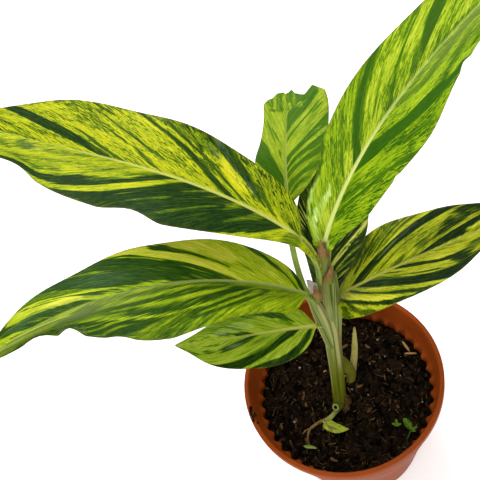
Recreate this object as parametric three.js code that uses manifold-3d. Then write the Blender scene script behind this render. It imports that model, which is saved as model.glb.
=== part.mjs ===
// Potted variegated shell ginger: a young plant of seven leaves in a 12 cm nursery pot.
// Millimetres, +Z up, origin at the middle of the pot's flat underside.
// The leaves part into two rows, along -X and +X; the back of the plant faces +Y.
import * as THREE from 'three';
import { mergeVertices } from 'three/addons/utils/BufferGeometryUtils.js';
import Module from 'manifold-3d';

const wasm = await Module();
wasm.setup();

// Driving dimensions
const GAP = 0.3;                 // clearance left between touching pieces
const POT_HEIGHT = 96;
const POT_RIM_RADIUS = 60;
const POT_BASE_RADIUS = 42;
const POT_FLOOR = 2;
const POT_SIDES = 80;
const RIM_LIP = 5.2;             // height of the lip rolled round the rim
const NUB_HEIGHT = 76;           // ring of small nubs inside the pot, just above the soil
const NUB_DEPTH = 0.9;
const DRAIN_HOLES = 6;
const DRAIN_RADIUS = 4;
const DRAIN_CIRCLE = 29;
const SOIL_LEVEL = 72;
const SOIL_RINGS = 13;
const SOIL_RELIEF = 1.1;
const BLADE_THICKNESS = 0.7;
const MIDRIB_HEIGHT = 1.5;       // how far the midrib stands out below the blade at its base
const MIDRIB_HALF = 1.3;
const TIP_HALF = 0.6;
const STEM_RIBS = 0.035;         // height of the sheaths' ridges, as a share of their half-width
const MIDRIB_STEPS = 60;

// Stations along a blade at which its half-widths are given
const STATIONS = [0, 0.05, 0.15, 0.3, 0.45, 0.6, 0.75, 0.9, 1];
// Columns across a blade: 0 is the midrib, 1 the margin; RIB marks the midrib's own edge
const RIB = 'rib';
const LARGE = { columns: [1, 0.78, 0.54, 0.28, RIB, 0], bladeSteps: 19, stalkSteps: 5 };
const SMALL = { columns: [1, 0.5, 0], bladeSteps: 7, stalkSteps: 1 };
const TINY = { columns: [1, 0], bladeSteps: 5, stalkSteps: 1 };

// Each leaf: base of the blade, root of its stalk in the stem, and how it grows.
// heading and pitch are in degrees at the base, the middle and the tip; twist turns the
// blade about its midrib; fold is the V of its two halves and droop the sag towards the
// margins; wave is [height, waves along the blade, phase in degrees]. torn gives the share of
// the length at which a ragged tip ends, from the right margin to the left one.
const LEAVES = [
  {
    name: 'leaf_upper_left', base: [3.4, 17.4, 217], root: [4.5, 12, 178], stalk: 1.9,
    length: 190, heading: [134, 142, 132], pitch: [40, 13, 7], twist: [12, -9, -27],
    left: [11, 19, 28, 28.5, 25.5, 19, 11], right: [14, 22, 27, 28, 26, 21, 11],
    fold: 16, droop: 0.1, wave: [1.6, 3.2, 60],
  },
  {
    name: 'leaf_upper_right', base: [13.9, 15.4, 211], root: [12.5, 16, 200], stalk: 2.0,
    length: 175, heading: [15, 9, 4], pitch: [66, 37, 21], twist: [36, 19, 5],
    left: [11, 16, 20, 21, 19, 15, 7], right: [9, 16, 20, 22, 15, 12, 7],
    fold: 21, droop: 0.08, wave: [1.0, 2.6, 20],
  },
  {
    name: 'leaf_back', base: [5.4, 45, 210], root: [-1, 10.2, 168], stalk: 1.5,
    length: 75, heading: [69, 62, 64], pitch: [43, 25, 5], twist: [0, 0, 0],
    left: [6, 13, 17, 15, 13.5, 13, 12], right: [5, 12, 18, 20, 22, 20, 16],
    fold: 11, droop: 0.14, wave: [0.8, 2.4, 150], torn: [0.78, 0.88, 0.8, 0.83, 0.83, 0.79, 0.73],
  },
  {
    name: 'leaf_right', base: [12.2, 13.6, 161], root: [8.5, 9.5, 152], stalk: 2.2,
    length: 118, heading: [-21, -15, -8], pitch: [39, 25, 10], twist: [3, -2, -3],
    left: [12, 21, 25, 24, 21, 15, 8], right: [17, 23, 25, 24, 20, 12, 8],
    fold: 18, droop: 0.08, wave: [1.0, 2.8, 90],
  },
  {
    name: 'leaf_hidden', base: [9, 14.8, 171], root: [6.5, 12, 158], stalk: 2.0,
    length: 96, heading: [58, 55, 55], pitch: [44, 20, 14], twist: [0, -1, -2],
    left: [9, 12, 18, 19, 18, 10, 6], right: [7, 13, 19, 19, 17, 11, 6],
    fold: 14, droop: 0.12, wave: [0.8, 2.4, 0],
  },
  {
    name: 'leaf_lower_left', base: [-3.4, 8.8, 183], root: [-0.5, 8, 168], stalk: 2.1,
    length: 180, heading: [164, 175, 183], pitch: [46, 11, -24], twist: [-9, -1, 1],
    left: [9, 16, 24, 30, 23, 11, 6], right: [10, 18, 23, 23, 20, 16, 8],
    fold: 12, droop: 0.13, wave: [1.2, 3.4, 200],
    flap: { side: 1, crease: 0.6, from: 0.3, to: 0.85, ease: 0.15, angle: 60 },
  },
  {
    name: 'leaf_small_left', base: [-4.8, 4.2, 157.5], root: [0, 5, 150], stalk: 1.7,
    length: 78, heading: [174, 166, 158], pitch: [22, 3, -4], twist: [-7, 2, 9],
    left: [8, 15, 19, 19, 17, 13, 5], right: [9, 14, 17, 18, 16, 12, 5],
    fold: 5, droop: 0.16, wave: [0.6, 2.2, 0],
  },
];

// Strands of the false stem, rolled leaf sheaths: points up their middle, their half-widths
// across X and along Y at each point
const STRANDS = [
  {
    points: [[-5, -4, 52], [-5.9, -5.3, 66], [-5.5, -4.8, 76], [-1.9, -1.1, 100], [1.5, 2.7, 125],
      [3.5, 5.4, 143], [4.2, 7.8, 160]],
    across: [7, 6.2, 4.4, 4.6, 5, 5.6, 4.2], along: [7, 5.5, 3.6, 3.8, 4.0, 4.2, 3.4],
  },
  {
    points: [[0.2, 2.8, 132], [-0.2, 6, 153], [-1.2, 8.4, 169], [-2.6, 9.6, 178]],
    across: [2.6, 3.8, 3.4, 2.1], along: [2.4, 3.2, 2.8, 1.8],
  },
  {
    points: [[3.6, 4.1, 128], [7.4, 7.2, 149], [11, 10.2, 168], [14.6, 12.6, 186]],
    across: [2.6, 3.2, 2.9, 1.3], along: [2.4, 3, 2.6, 1.2],
  },
  {
    points: [[2.2, 5, 128], [4.6, 9, 154], [7.2, 12.1, 175], [10.4, 14.9, 194], [13, 16, 206]],
    across: [2.8, 4, 3.6, 3.2, 2.2], along: [2.6, 3.4, 3.2, 2.8, 2.0],
  },
];
// Papery collars where a sheath opens: points up their middle and half-width
const LIGULES = [
  { points: [[0.2, 8.6, 166], [1.8, 9.4, 173], [3.2, 10.6, 181]], half: 2.6 },
  { points: [[7.4, 9.6, 173], [9.4, 10.8, 183], [11.6, 12.4, 192]], half: 2.8 },
  { points: [[10, 13, 197], [11, 13.4, 204], [12.2, 14.8, 212]], half: 2.7 },
];
// Knobs at the foot of the stem: the hollow stub of an older shoot, and a bud of the rhizome
const FOOT_KNOBS = [
  { points: [[-4, -6, 72], [-7.5, -8, 76], [-10, -9.6, 79]], across: [3.4, 2.8, 2.3], along: [3, 2.6, 2.3] },
  { points: [[-3, -6, 70], [-0.6, -8.4, 76], [-1.5, -9.6, 78.5]], across: [3.6, 3, 1.2], along: [3.2, 2.8, 1.2] },
];
// Roots in the soil: heading in degrees, length and depth reached
const ROOTS = [[20, 26, 30], [95, 22, 36], [165, 28, 28], [235, 24, 34], [310, 27, 32]];

const potMaterial = new THREE.MeshStandardMaterial({ color: 0xac5525, roughness: 0.45 });
const soilMaterial = new THREE.MeshStandardMaterial({ color: 0x2b201a, roughness: 0.95 });
const stemMaterial = new THREE.MeshStandardMaterial({ color: 0x8f9c5c, roughness: 0.55 });
const shootMaterial = new THREE.MeshStandardMaterial({ color: 0xb9bb72, roughness: 0.5 });
const leafMaterial = new THREE.MeshStandardMaterial({ color: 0x7f9a22, roughness: 0.4 });
const rootMaterial = new THREE.MeshStandardMaterial({ color: 0x8a6a45, roughness: 0.85 });

const radians = THREE.MathUtils.degToRad;
const vector = (list) => new THREE.Vector3(...list);

// Value at s (0 to 1) of the parabola through three values at 0, 0.5 and 1
function bend([start, middle, end], s) {
  return start * (1 - s) * (1 - 2 * s) + middle * 4 * s * (1 - s) + end * s * (2 * s - 1);
}

// Smooth curve through half-widths at the stations, as a function of s
function widthCurve(halves) {
  const values = [0, ...halves, 0];
  const curve = new THREE.SplineCurve(values.map((w, i) => new THREE.Vector2(STATIONS[i], w)));
  const samples = curve.getPoints(200);
  return (s) => {
    const next = samples.findIndex((p) => p.x >= s);
    if (next <= 0) return Math.max(samples[next < 0 ? samples.length - 1 : 0].y, 0);
    const [a, b] = [samples[next - 1], samples[next]];
    return Math.max(a.y + ((b.y - a.y) * (s - a.x)) / (b.x - a.x), 0);
  };
}

// Merges shared vertices and drops the triangles that collapse on the axis or at a point
function closed(geometry) {
  geometry.deleteAttribute('normal');
  geometry.deleteAttribute('uv');
  const merged = mergeVertices(geometry, 1e-4);
  const source = merged.getIndex().array;
  const index = [];
  for (let i = 0; i < source.length; i += 3) {
    const [a, b, c] = [source[i], source[i + 1], source[i + 2]];
    if (a !== b && b !== c && c !== a) index.push(a, b, c);
  }
  merged.setIndex(index);
  return merged;
}

// Closed skin over rings of points. A fan closes each end. Where mirrored is true, the second
// half of each ring is split into triangles as the first half is, seen through the thickness.
function loft(rings, mirrored = false) {
  const count = rings[0].length;
  const positions = rings.flat().flatMap((p) => [p.x, p.y, p.z]);
  const index = [];
  for (let i = 0; i + 1 < rings.length; i++) {
    for (let j = 0; j < count; j++) {
      const next = (j + 1) % count;
      const [a, b, c, d] = [i * count + j, i * count + next, (i + 1) * count + next, (i + 1) * count + j];
      if (mirrored && j >= count / 2) index.push(a, b, d, b, c, d);
      else index.push(a, b, c, a, c, d);
    }
  }
  for (const [ring, flip] of [[0, true], [rings.length - 1, false]]) {
    const middle = rings[ring].reduce((sum, p) => sum.add(p), new THREE.Vector3()).divideScalar(count);
    const centre = positions.push(middle.x, middle.y, middle.z) / 3 - 1;
    for (let j = 0; j < count; j++) {
      const [a, b] = [ring * count + j, ring * count + ((j + 1) % count)];
      index.push(...(flip ? [centre, b, a] : [centre, a, b]));
    }
  }
  const geometry = new THREE.BufferGeometry();
  geometry.setAttribute('position', new THREE.Float32BufferAttribute(positions, 3));
  geometry.setIndex(index);
  return closed(geometry);
}

function toSolid(geometry) {
  return new wasm.Manifold(new wasm.Mesh({
    numProp: 3,
    vertProperties: new Float32Array(geometry.getAttribute('position').array),
    triVerts: new Uint32Array(geometry.getIndex().array),
  }));
}

function toGeometry(solid) {
  const mesh = solid.getMesh();
  const geometry = new THREE.BufferGeometry();
  geometry.setAttribute('position', new THREE.BufferAttribute(mesh.vertProperties, 3));
  geometry.setIndex(new THREE.BufferAttribute(mesh.triVerts, 1));
  return geometry;
}

const united = (solids) => solids.reduce((sum, solid) => sum.add(solid));

// The largest body of a solid that a cut may have left in pieces
function largest(solid) {
  return solid.decompose().sort((a, b) => b.volume() - a.volume())[0];
}

// Round or oval rod along a smooth curve, with its sizes given at the curve's points.
// grow widens it all round, to cut a clearance; ribs raises low ridges along it.
function rod({ points, across, along }, { sides = 12, steps = 14, grow = 0, ribs = 0 } = {}) {
  const curve = new THREE.CatmullRomCurve3(points.map(vector));
  const at = (list, u) => {
    const place = u * (list.length - 1);
    const i = Math.min(Math.floor(place), list.length - 2);
    return THREE.MathUtils.lerp(list[i], list[i + 1], place - i);
  };
  const rings = [];
  for (let i = 0; i <= steps; i++) {
    const u = i / steps;
    const direction = curve.getTangent(u);
    const across1 = new THREE.Vector3(1, 0, 0).addScaledVector(direction, -direction.x).normalize();
    const along1 = direction.clone().cross(across1);
    const middle = curve.getPoint(u).addScaledVector(direction, (i === 0 ? -grow : 0) + (i === steps ? grow : 0));
    const ring = [];
    for (let j = 0; j < sides; j++) {
      const turn = (j / sides) * 2 * Math.PI;
      const ridge = 1 + ribs * Math.cos(turn * (sides / 2));
      ring.push(middle.clone()
        .addScaledVector(across1, (at(across, u) * ridge + grow) * Math.cos(turn))
        .addScaledVector(along1, (at(along, u) * ridge + grow) * Math.sin(turn)));
    }
    rings.push(ring);
  }
  return toSolid(loft(rings));
}

// Frames along a leaf's midrib: a function of s giving its point, side and upward normal
function midribOf(leaf) {
  const direction = (s) => {
    const [heading, pitch] = [radians(bend(leaf.heading, s)), radians(bend(leaf.pitch, s))];
    return new THREE.Vector3(
      Math.cos(pitch) * Math.cos(heading), Math.cos(pitch) * Math.sin(heading), Math.sin(pitch),
    );
  };
  const points = [vector(leaf.base)];
  for (let i = 0; i < MIDRIB_STEPS; i++) {
    const step = direction((i + 0.5) / MIDRIB_STEPS).multiplyScalar(leaf.length / MIDRIB_STEPS);
    points.push(points[i].clone().add(step));
  }
  return (s) => {
    const i = Math.min(Math.floor(s * MIDRIB_STEPS), MIDRIB_STEPS - 1);
    const heading = radians(bend(leaf.heading, s));
    const along = direction(s);
    const level = new THREE.Vector3(-Math.sin(heading), Math.cos(heading), 0);
    const twist = radians(bend(leaf.twist, s));
    return {
      point: points[i].clone().lerp(points[i + 1], s * MIDRIB_STEPS - i),
      along,
      side: level.clone().applyAxisAngle(along, twist),
      up: along.clone().cross(level).applyAxisAngle(along, twist),
    };
  };
}

// Offset out from the midrib and up from it, at share t of the half-width on one side
function crossSection(leaf, s, side, half, t) {
  const fold = radians(leaf.fold);
  const [height, waves, phase] = leaf.wave;
  let out = half * t * Math.cos(fold);
  let up = half * t * Math.sin(fold) - leaf.droop * half * t * t;
  up += height * t * t * Math.sin(Math.PI * s) * Math.sin(2 * Math.PI * waves * s + radians(phase) + side);
  const { flap } = leaf;
  if (flap && flap.side === side && t > flap.crease) {
    const open = THREE.MathUtils.smoothstep(s, flap.from, flap.from + flap.ease)
      * (1 - THREE.MathUtils.smoothstep(s, flap.to - flap.ease, flap.to));
    const turn = radians(flap.angle) * open;
    const beyond = half * (t - flap.crease);
    out -= beyond * (1 - Math.cos(turn));
    up -= beyond * Math.sin(turn);
  }
  return [out, up];
}

// A leaf as one body: a channelled stalk that widens into the blade, with its midrib below
function leafSolid(leaf, { columns, bladeSteps, stalkSteps } = LARGE) {
  const midrib = midribOf(leaf);
  const left = widthCurve(leaf.left);
  const right = widthCurve(leaf.right);
  const across = [
    ...columns.map((t) => [1, t]),
    ...columns.slice(0, -1).reverse().map((t) => [-1, t]),
  ];
  const ends = leaf.torn ?? [1];
  const endAt = (side, t) => {
    const place = ((1 + side * t) / 2) * (ends.length - 1);
    const i = Math.min(Math.floor(place), Math.max(ends.length - 2, 0));
    return THREE.MathUtils.lerp(ends[i], ends[Math.min(i + 1, ends.length - 1)], place - i);
  };
  const ringAt = (sAt, stalkShare, frameOf) => {
    const top = [];
    const bottom = [];
    for (const [side, column] of across) {
      const s = sAt(side, column === RIB ? 0 : column);
      const frame = frameOf(s);
      const narrow = Math.max(leaf.stalk * stalkShare, TIP_HALF);
      const half = Math.max((side > 0 ? left : right)(s), narrow);
      const t = column === RIB ? Math.min(MIDRIB_HALF / half, 0.15) : column;
      const [out, up] = crossSection(leaf, s, side, half, t);
      const ribShare = Math.max(0, 1 - t * (half / MIDRIB_HALF) * 0.6);
      const blade = BLADE_THICKNESS + MIDRIB_HEIGHT * (1 - s) * (column === RIB || t === 0 ? ribShare : 0);
      const stalk = BLADE_THICKNESS + leaf.stalk * 1.5 * (1 - t * t);
      const place = frame.point.clone().addScaledVector(frame.side, side * out).addScaledVector(frame.up, up);
      top.push(place);
      const depth = THREE.MathUtils.lerp(blade, stalk, stalkShare);
      bottom.push(place.clone().addScaledVector(frame.up, -depth));
    }
    return [...top, ...bottom.reverse()];
  };
  const rings = [];
  const start = midrib(0);
  const root = vector(leaf.root);
  const reach = root.distanceTo(start.point);
  const stalkCurve = new THREE.QuadraticBezierCurve3(
    root, start.point.clone().addScaledVector(start.along, -reach * 0.5), start.point,
  );
  for (let i = 0; i < stalkSteps; i++) {
    const u = i / stalkSteps;
    const along = stalkCurve.getTangent(u);
    const side = start.side.clone().addScaledVector(along, -start.side.dot(along)).normalize();
    const frame = { point: stalkCurve.getPoint(u), side, up: along.clone().cross(side) };
    rings.push(ringAt(() => 0, 1, () => frame));
  }
  for (let i = 0; i <= bladeSteps; i++) {
    const u = i / bladeSteps;
    const s = 0.35 * u * u + 0.65 * u;
    const stalkShare = 1 - THREE.MathUtils.smoothstep(s, 0, 0.09);
    rings.push(ringAt((side, t) => s * endAt(side, t), stalkShare, midrib));
  }
  return toSolid(loft(rings, true));
}

// Low bumps of crumbly soil, zero at the pot's wall
function soilBump(x, y) {
  const coarse = Math.sin(0.31 * x + 1.7 * Math.sin(0.23 * y)) * Math.cos(0.27 * y + Math.sin(0.19 * x));
  const fine = Math.sin(0.9 * x + 2.1 * Math.cos(0.7 * y)) * Math.sin(0.8 * y + 1.3 * Math.sin(0.6 * x));
  return SOIL_RELIEF * (0.7 * coarse + 0.6 * fine);
}

// Inner wall of the pot from the lip down to the floor, as radius and height
const innerWall = [
  [57, POT_HEIGHT - 0.8], [54.8, NUB_HEIGHT + 2.2], [53.9, NUB_HEIGHT],
  [53.9, NUB_HEIGHT - 2.4], [53.3, SOIL_LEVEL - 2], [POT_BASE_RADIUS - 1.2, POT_FLOOR + 1],
  [POT_BASE_RADIUS - 2.2, POT_FLOOR],
];

function potSolid() {
  const outer = [
    [0, 0], [POT_BASE_RADIUS - 1.4, 0], [POT_BASE_RADIUS, 1.6], [54.2, 69.4], [55.4, 70.4],
    [57.9, POT_HEIGHT - RIM_LIP], [POT_RIM_RADIUS, POT_HEIGHT - RIM_LIP],
    [POT_RIM_RADIUS, POT_HEIGHT - 0.9], [POT_RIM_RADIUS - 0.8, POT_HEIGHT], [57.8, POT_HEIGHT],
  ];
  const profile = [...outer, ...innerWall, [0, POT_FLOOR]].map(([r, z]) => new THREE.Vector2(r, z));
  const geometry = new THREE.LatheGeometry(profile, POT_SIDES);
  const position = geometry.getAttribute('position');
  const wallRadius = innerWall[2][0];
  for (let i = 0; i < position.count; i++) {
    // Lathe geometry turns about Y, so its height is y until it is stood up below
    const [x, height, z] = [position.getX(i), position.getY(i), position.getZ(i)];
    const radius = Math.hypot(x, z);
    const onNubRing = Math.abs(height - NUB_HEIGHT) < 0.01 && Math.abs(radius - wallRadius) < 0.01;
    const step = Math.round((Math.atan2(z, x) / (2 * Math.PI)) * POT_SIDES);
    if (onNubRing && step % 2 !== 0) {
      const share = (radius - NUB_DEPTH) / radius;
      position.setXYZ(i, x * share, height, z * share);
    }
  }
  geometry.rotateX(Math.PI / 2);
  let pot = toSolid(closed(geometry));
  for (let i = 0; i < DRAIN_HOLES; i++) {
    const turn = ((i + 0.5) / DRAIN_HOLES) * 2 * Math.PI;
    const drill = new THREE.CylinderGeometry(DRAIN_RADIUS, DRAIN_RADIUS, 4 * POT_FLOOR, 16);
    drill.rotateX(Math.PI / 2);
    drill.translate(DRAIN_CIRCLE * Math.cos(turn), DRAIN_CIRCLE * Math.sin(turn), POT_FLOOR / 2);
    pot = pot.subtract(toSolid(closed(drill)));
  }
  return pot;
}

function soilSolid() {
  const [, , , , wallTop, wallFoot, floorEdge] = innerWall;
  const rim = wallTop[0] + 0.1;
  const profile = [
    [0, POT_FLOOR + GAP], [floorEdge[0] - GAP, POT_FLOOR + GAP], [wallFoot[0] - GAP, wallFoot[1] + GAP],
    [rim - GAP, SOIL_LEVEL - 1.4],
  ];
  for (let ring = SOIL_RINGS; ring >= 0; ring--) {
    profile.push([((rim - GAP - 0.4) * ring) / SOIL_RINGS, SOIL_LEVEL]);
  }
  const geometry = new THREE.LatheGeometry(profile.map(([r, z]) => new THREE.Vector2(r, z)), POT_SIDES / 2);
  geometry.rotateX(Math.PI / 2);
  const position = geometry.getAttribute('position');
  for (let i = 0; i < position.count; i++) {
    const [x, y, z] = [position.getX(i), position.getY(i), position.getZ(i)];
    if (Math.abs(z - SOIL_LEVEL) > 0.01) continue;
    const inward = 1 - Math.hypot(x, y) / rim;
    position.setZ(i, SOIL_LEVEL + soilBump(x, y) * Math.min(1, 6 * inward));
  }
  return toSolid(closed(geometry));
}

// One root below the soil, tapering outwards and down from the stem's foot
function rootShape([heading, reach, depth], index) {
  const [x, y] = [Math.cos(radians(heading)), Math.sin(radians(heading))];
  const [footX, footY, footZ] = [-5.5, -4.8, 60 - (index % 2) * 3];
  return {
    points: [
      [footX, footY, footZ], [footX + x * reach * 0.5, footY + y * reach * 0.5, footZ - depth * 0.3],
      [footX + x * reach, footY + y * reach, footZ - depth],
    ],
    across: [2.2, 1.5, 0.8], along: [2.2, 1.5, 0.8],
  };
}

const stemCurves = [...STRANDS, ...LIGULES.map(({ points, half }) => ({
  points, across: [half * 0.9, half, 0.5], along: [half * 0.5, half * 0.5, 0.4],
}))];

function stemSolid() {
  const strands = STRANDS.map((strand, i) => rod(strand, { ribs: STEM_RIBS, steps: i === 0 ? 14 : 7 }));
  const ligules = stemCurves.slice(STRANDS.length).map((shape) => rod(shape, { sides: 8, steps: 4 }));
  const roots = ROOTS.map((root, i) => rod(rootShape(root, i), { sides: 6, steps: 5 }));
  const knobs = FOOT_KNOBS.map((knob) => rod(knob, { sides: 10, steps: 4 }));
  return united([...strands, ...ligules, ...roots, ...knobs]);
}

// A point at a height above the soil's surface
const onSoil = (x, y, lift) => [x, y, SOIL_LEVEL + soilBump(x, y) + lift];

const shootShape = {
  points: [[2.6, -1.4, 88], [8.2, 0.6, 97.5], [12.3, 3.2, 114], [17.1, 6.8, 134]],
  across: [2.4, 3, 2.5, 0.7], along: [2.2, 2.6, 2.2, 0.7],
};
const surfaceRootShape = {
  points: [onSoil(-19.6, -12.2, 0.9), onSoil(-24, -12.6, 1.1), onSoil(-30.2, -14.4, 0.8), onSoil(-34.4, -20.8, 0.3)],
  across: [1.2, 1, 0.8, 0.6], along: [1.2, 1, 0.8, 0.6],
};
const oldSheathShape = {
  points: [[-10.6, -11.6, 76], [-14, -13.8, 75.6], [-17.6, -15.4, 75.4]],
  across: [1.5, 1.7, 1.9], along: [1.1, 1.1, 1],
};
const stubLeaf = {
  name: 'stub_leaf', base: [-17.8, -15.6, 75.6], root: [-17.2, -15.2, 75.6], stalk: 1.6,
  length: 15, heading: [-60, -40, -20], pitch: [8, 0, -6], twist: [0, 0, 0],
  left: [3, 4.6, 5, 4.4, 3.6, 2.6, 1.4], right: [3, 4.4, 5, 4.6, 3.8, 2.8, 1.6],
  fold: 12, droop: 0.1, wave: [0.4, 1.5, 0],
};
const sproutStemShape = {
  points: [[20.7, -43.4, 66], [20.9, -42.8, 74], [22.4, -38.6, 77], [24.6, -34.4, 79]],
  across: [0.8, 0.7, 0.6, 0.6], along: [0.8, 0.7, 0.6, 0.6],
};
const sproutLeaves = [
  { heading: 60, length: 7, half: 2.6 }, { heading: -40, length: 5.5, half: 2.2 }, { heading: 165, length: 6, half: 2.1 },
];

function sproutSolid() {
  const tip = sproutStemShape.points.at(-1);
  const blades = sproutLeaves.map(({ heading, length, half }) => leafSolid({
    base: [tip[0], tip[1], tip[2] - 0.1], root: [tip[0] - 0.4, tip[1] - 0.6, tip[2] - 1], stalk: 0.7,
    length, heading: [heading, heading, heading], pitch: [24, 4, -14], twist: [0, 0, 0],
    left: [0.5, 0.8, 1, 1, 0.8, 0.5, 0.3].map((share) => share * half),
    right: [0.5, 0.8, 1, 1, 0.8, 0.5, 0.3].map((share) => share * half),
    fold: 8, droop: 0.1, wave: [0, 1, 0],
  }, TINY));
  return largest(united([rod(sproutStemShape, { sides: 7, steps: 5 }), ...blades]));
}

const group = new THREE.Group();
function addPiece(name, solid, material) {
  const mesh = new THREE.Mesh(toGeometry(solid), material);
  mesh.name = name;
  group.add(mesh);
}

// Each strand widened by the clearance, to cut what stands against the stem
const stemClearance = united(stemCurves.map((shape) => rod(shape, { grow: GAP + 0.1, ribs: STEM_RIBS })));
const soilClearance = united([
  rod(STRANDS[0], { grow: GAP + 0.1, ribs: STEM_RIBS }),
  ...FOOT_KNOBS.map((knob) => rod(knob, { grow: GAP, sides: 10, steps: 4 })),
  ...ROOTS.map((root, i) => rod(rootShape(root, i), { grow: GAP, sides: 6, steps: 5 })),
  rod(sproutStemShape, { grow: GAP, sides: 7, steps: 5 }),
  rod(surfaceRootShape, { grow: GAP, sides: 8, steps: 8 }),
  rod(oldSheathShape, { grow: GAP, sides: 8, steps: 4 }),
]);

addPiece('pot', potSolid(), potMaterial);
addPiece('soil', largest(soilSolid().subtract(soilClearance)), soilMaterial);
addPiece('pseudostem', stemSolid(), stemMaterial);
for (const leaf of LEAVES) addPiece(leaf.name, largest(leafSolid(leaf).subtract(stemClearance)), leafMaterial);
addPiece('new_shoot', largest(rod(shootShape, { sides: 10, steps: 8 }).subtract(stemClearance)), shootMaterial);
addPiece('stub_leaf', united([rod(oldSheathShape, { sides: 8, steps: 4 }), leafSolid(stubLeaf, SMALL)]), leafMaterial);
addPiece('surface_root', rod(surfaceRootShape, { sides: 8, steps: 8 }), rootMaterial);
addPiece('sprout', sproutSolid(), leafMaterial);

export default group;
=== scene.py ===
"""Potted variegated shell ginger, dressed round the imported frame.

All driving values are in millimetres, as in the part's source, and become metres in the meshes.
"""
import math

import bmesh
import bpy
import numpy as np
from mathutils import Matrix, Vector


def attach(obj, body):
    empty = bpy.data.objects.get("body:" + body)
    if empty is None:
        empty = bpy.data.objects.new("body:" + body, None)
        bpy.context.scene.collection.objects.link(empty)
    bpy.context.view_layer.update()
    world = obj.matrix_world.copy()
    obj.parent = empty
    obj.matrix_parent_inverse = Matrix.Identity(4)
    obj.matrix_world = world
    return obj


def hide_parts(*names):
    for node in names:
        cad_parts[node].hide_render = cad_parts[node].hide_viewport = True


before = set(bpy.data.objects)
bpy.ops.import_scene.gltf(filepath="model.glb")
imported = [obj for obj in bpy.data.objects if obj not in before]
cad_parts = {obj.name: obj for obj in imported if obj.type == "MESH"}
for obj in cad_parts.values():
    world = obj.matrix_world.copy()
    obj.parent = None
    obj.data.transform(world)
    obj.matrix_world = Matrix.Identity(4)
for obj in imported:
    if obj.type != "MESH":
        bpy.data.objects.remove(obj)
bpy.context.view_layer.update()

MM = 0.001

# Driving dimensions of pot and soil; all but the nubs' are the frame's
POT_HEIGHT = 96.0
POT_RIM_RADIUS = 60.0
POT_BASE_RADIUS = 42.0
POT_FLOOR = 2.0
RIM_LIP = 5.2
NUB_COUNT = 40
NUB_DEPTH = 2.4
SIDES_PER_NUB = 12
DRAIN_HOLES = 6
DRAIN_RADIUS = 4.0
DRAIN_CIRCLE = 29.0
SOIL_LEVEL = 72.0
SOIL_RELIEF = 1.1
SOIL_RADIUS = 53.1

# How many loose bits there are, and how far they stay from the stem's foot
SOIL_LUMPS = 2200
SOIL_CRUMBS = 520
SOIL_CHIPS = 70
SOIL_BEADS = 26
SOIL_FIBRES = 480
RIM_CRUMBS = 14
STEM_FOOT = (-6, -5.5)
FOOT_CLEAR = 9.0

# Blades: shares of the length where their widths are given, then measures of their meshes
STATIONS = [0, 0.05, 0.15, 0.3, 0.45, 0.6, 0.75, 0.9, 1]
BLADE_THICKNESS = 0.5
MIDRIB_HEIGHT = 1.5         # how far it stands out below the blade at its base
RIB_HALVES = (1.5, 0.4)     # half-width of the midrib at the base and the tip
TIP_HALF = 0.25             # least half-width
GROOVE_DEPTH = 0.45         # of the groove on top of the midrib, at the base
VEIN_RELIEF = 0.05
STALK_DEPTH = 1.5           # of the stalk, as a share of its half-width
ROW_SPACING = 0.6           # mean spacing of a leaf mesh's rows, which follow its veins
ROWS_PER_VEIN = 4
COLUMN_SPACING = 0.95
STALK_SPACING = 1.2
FOOT_ROWS = 12
MIDRIB_STEPS = 600
MIDRIB_SHARES = [0, 0.012, 0.026, 0.042, 0.062, 0.086, 0.115]
MARGIN_SHARES = [0.986, 0.995, 1]
ROUND_MARGIN = 0.965        # share out to the margin where its edge starts to round off

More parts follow.
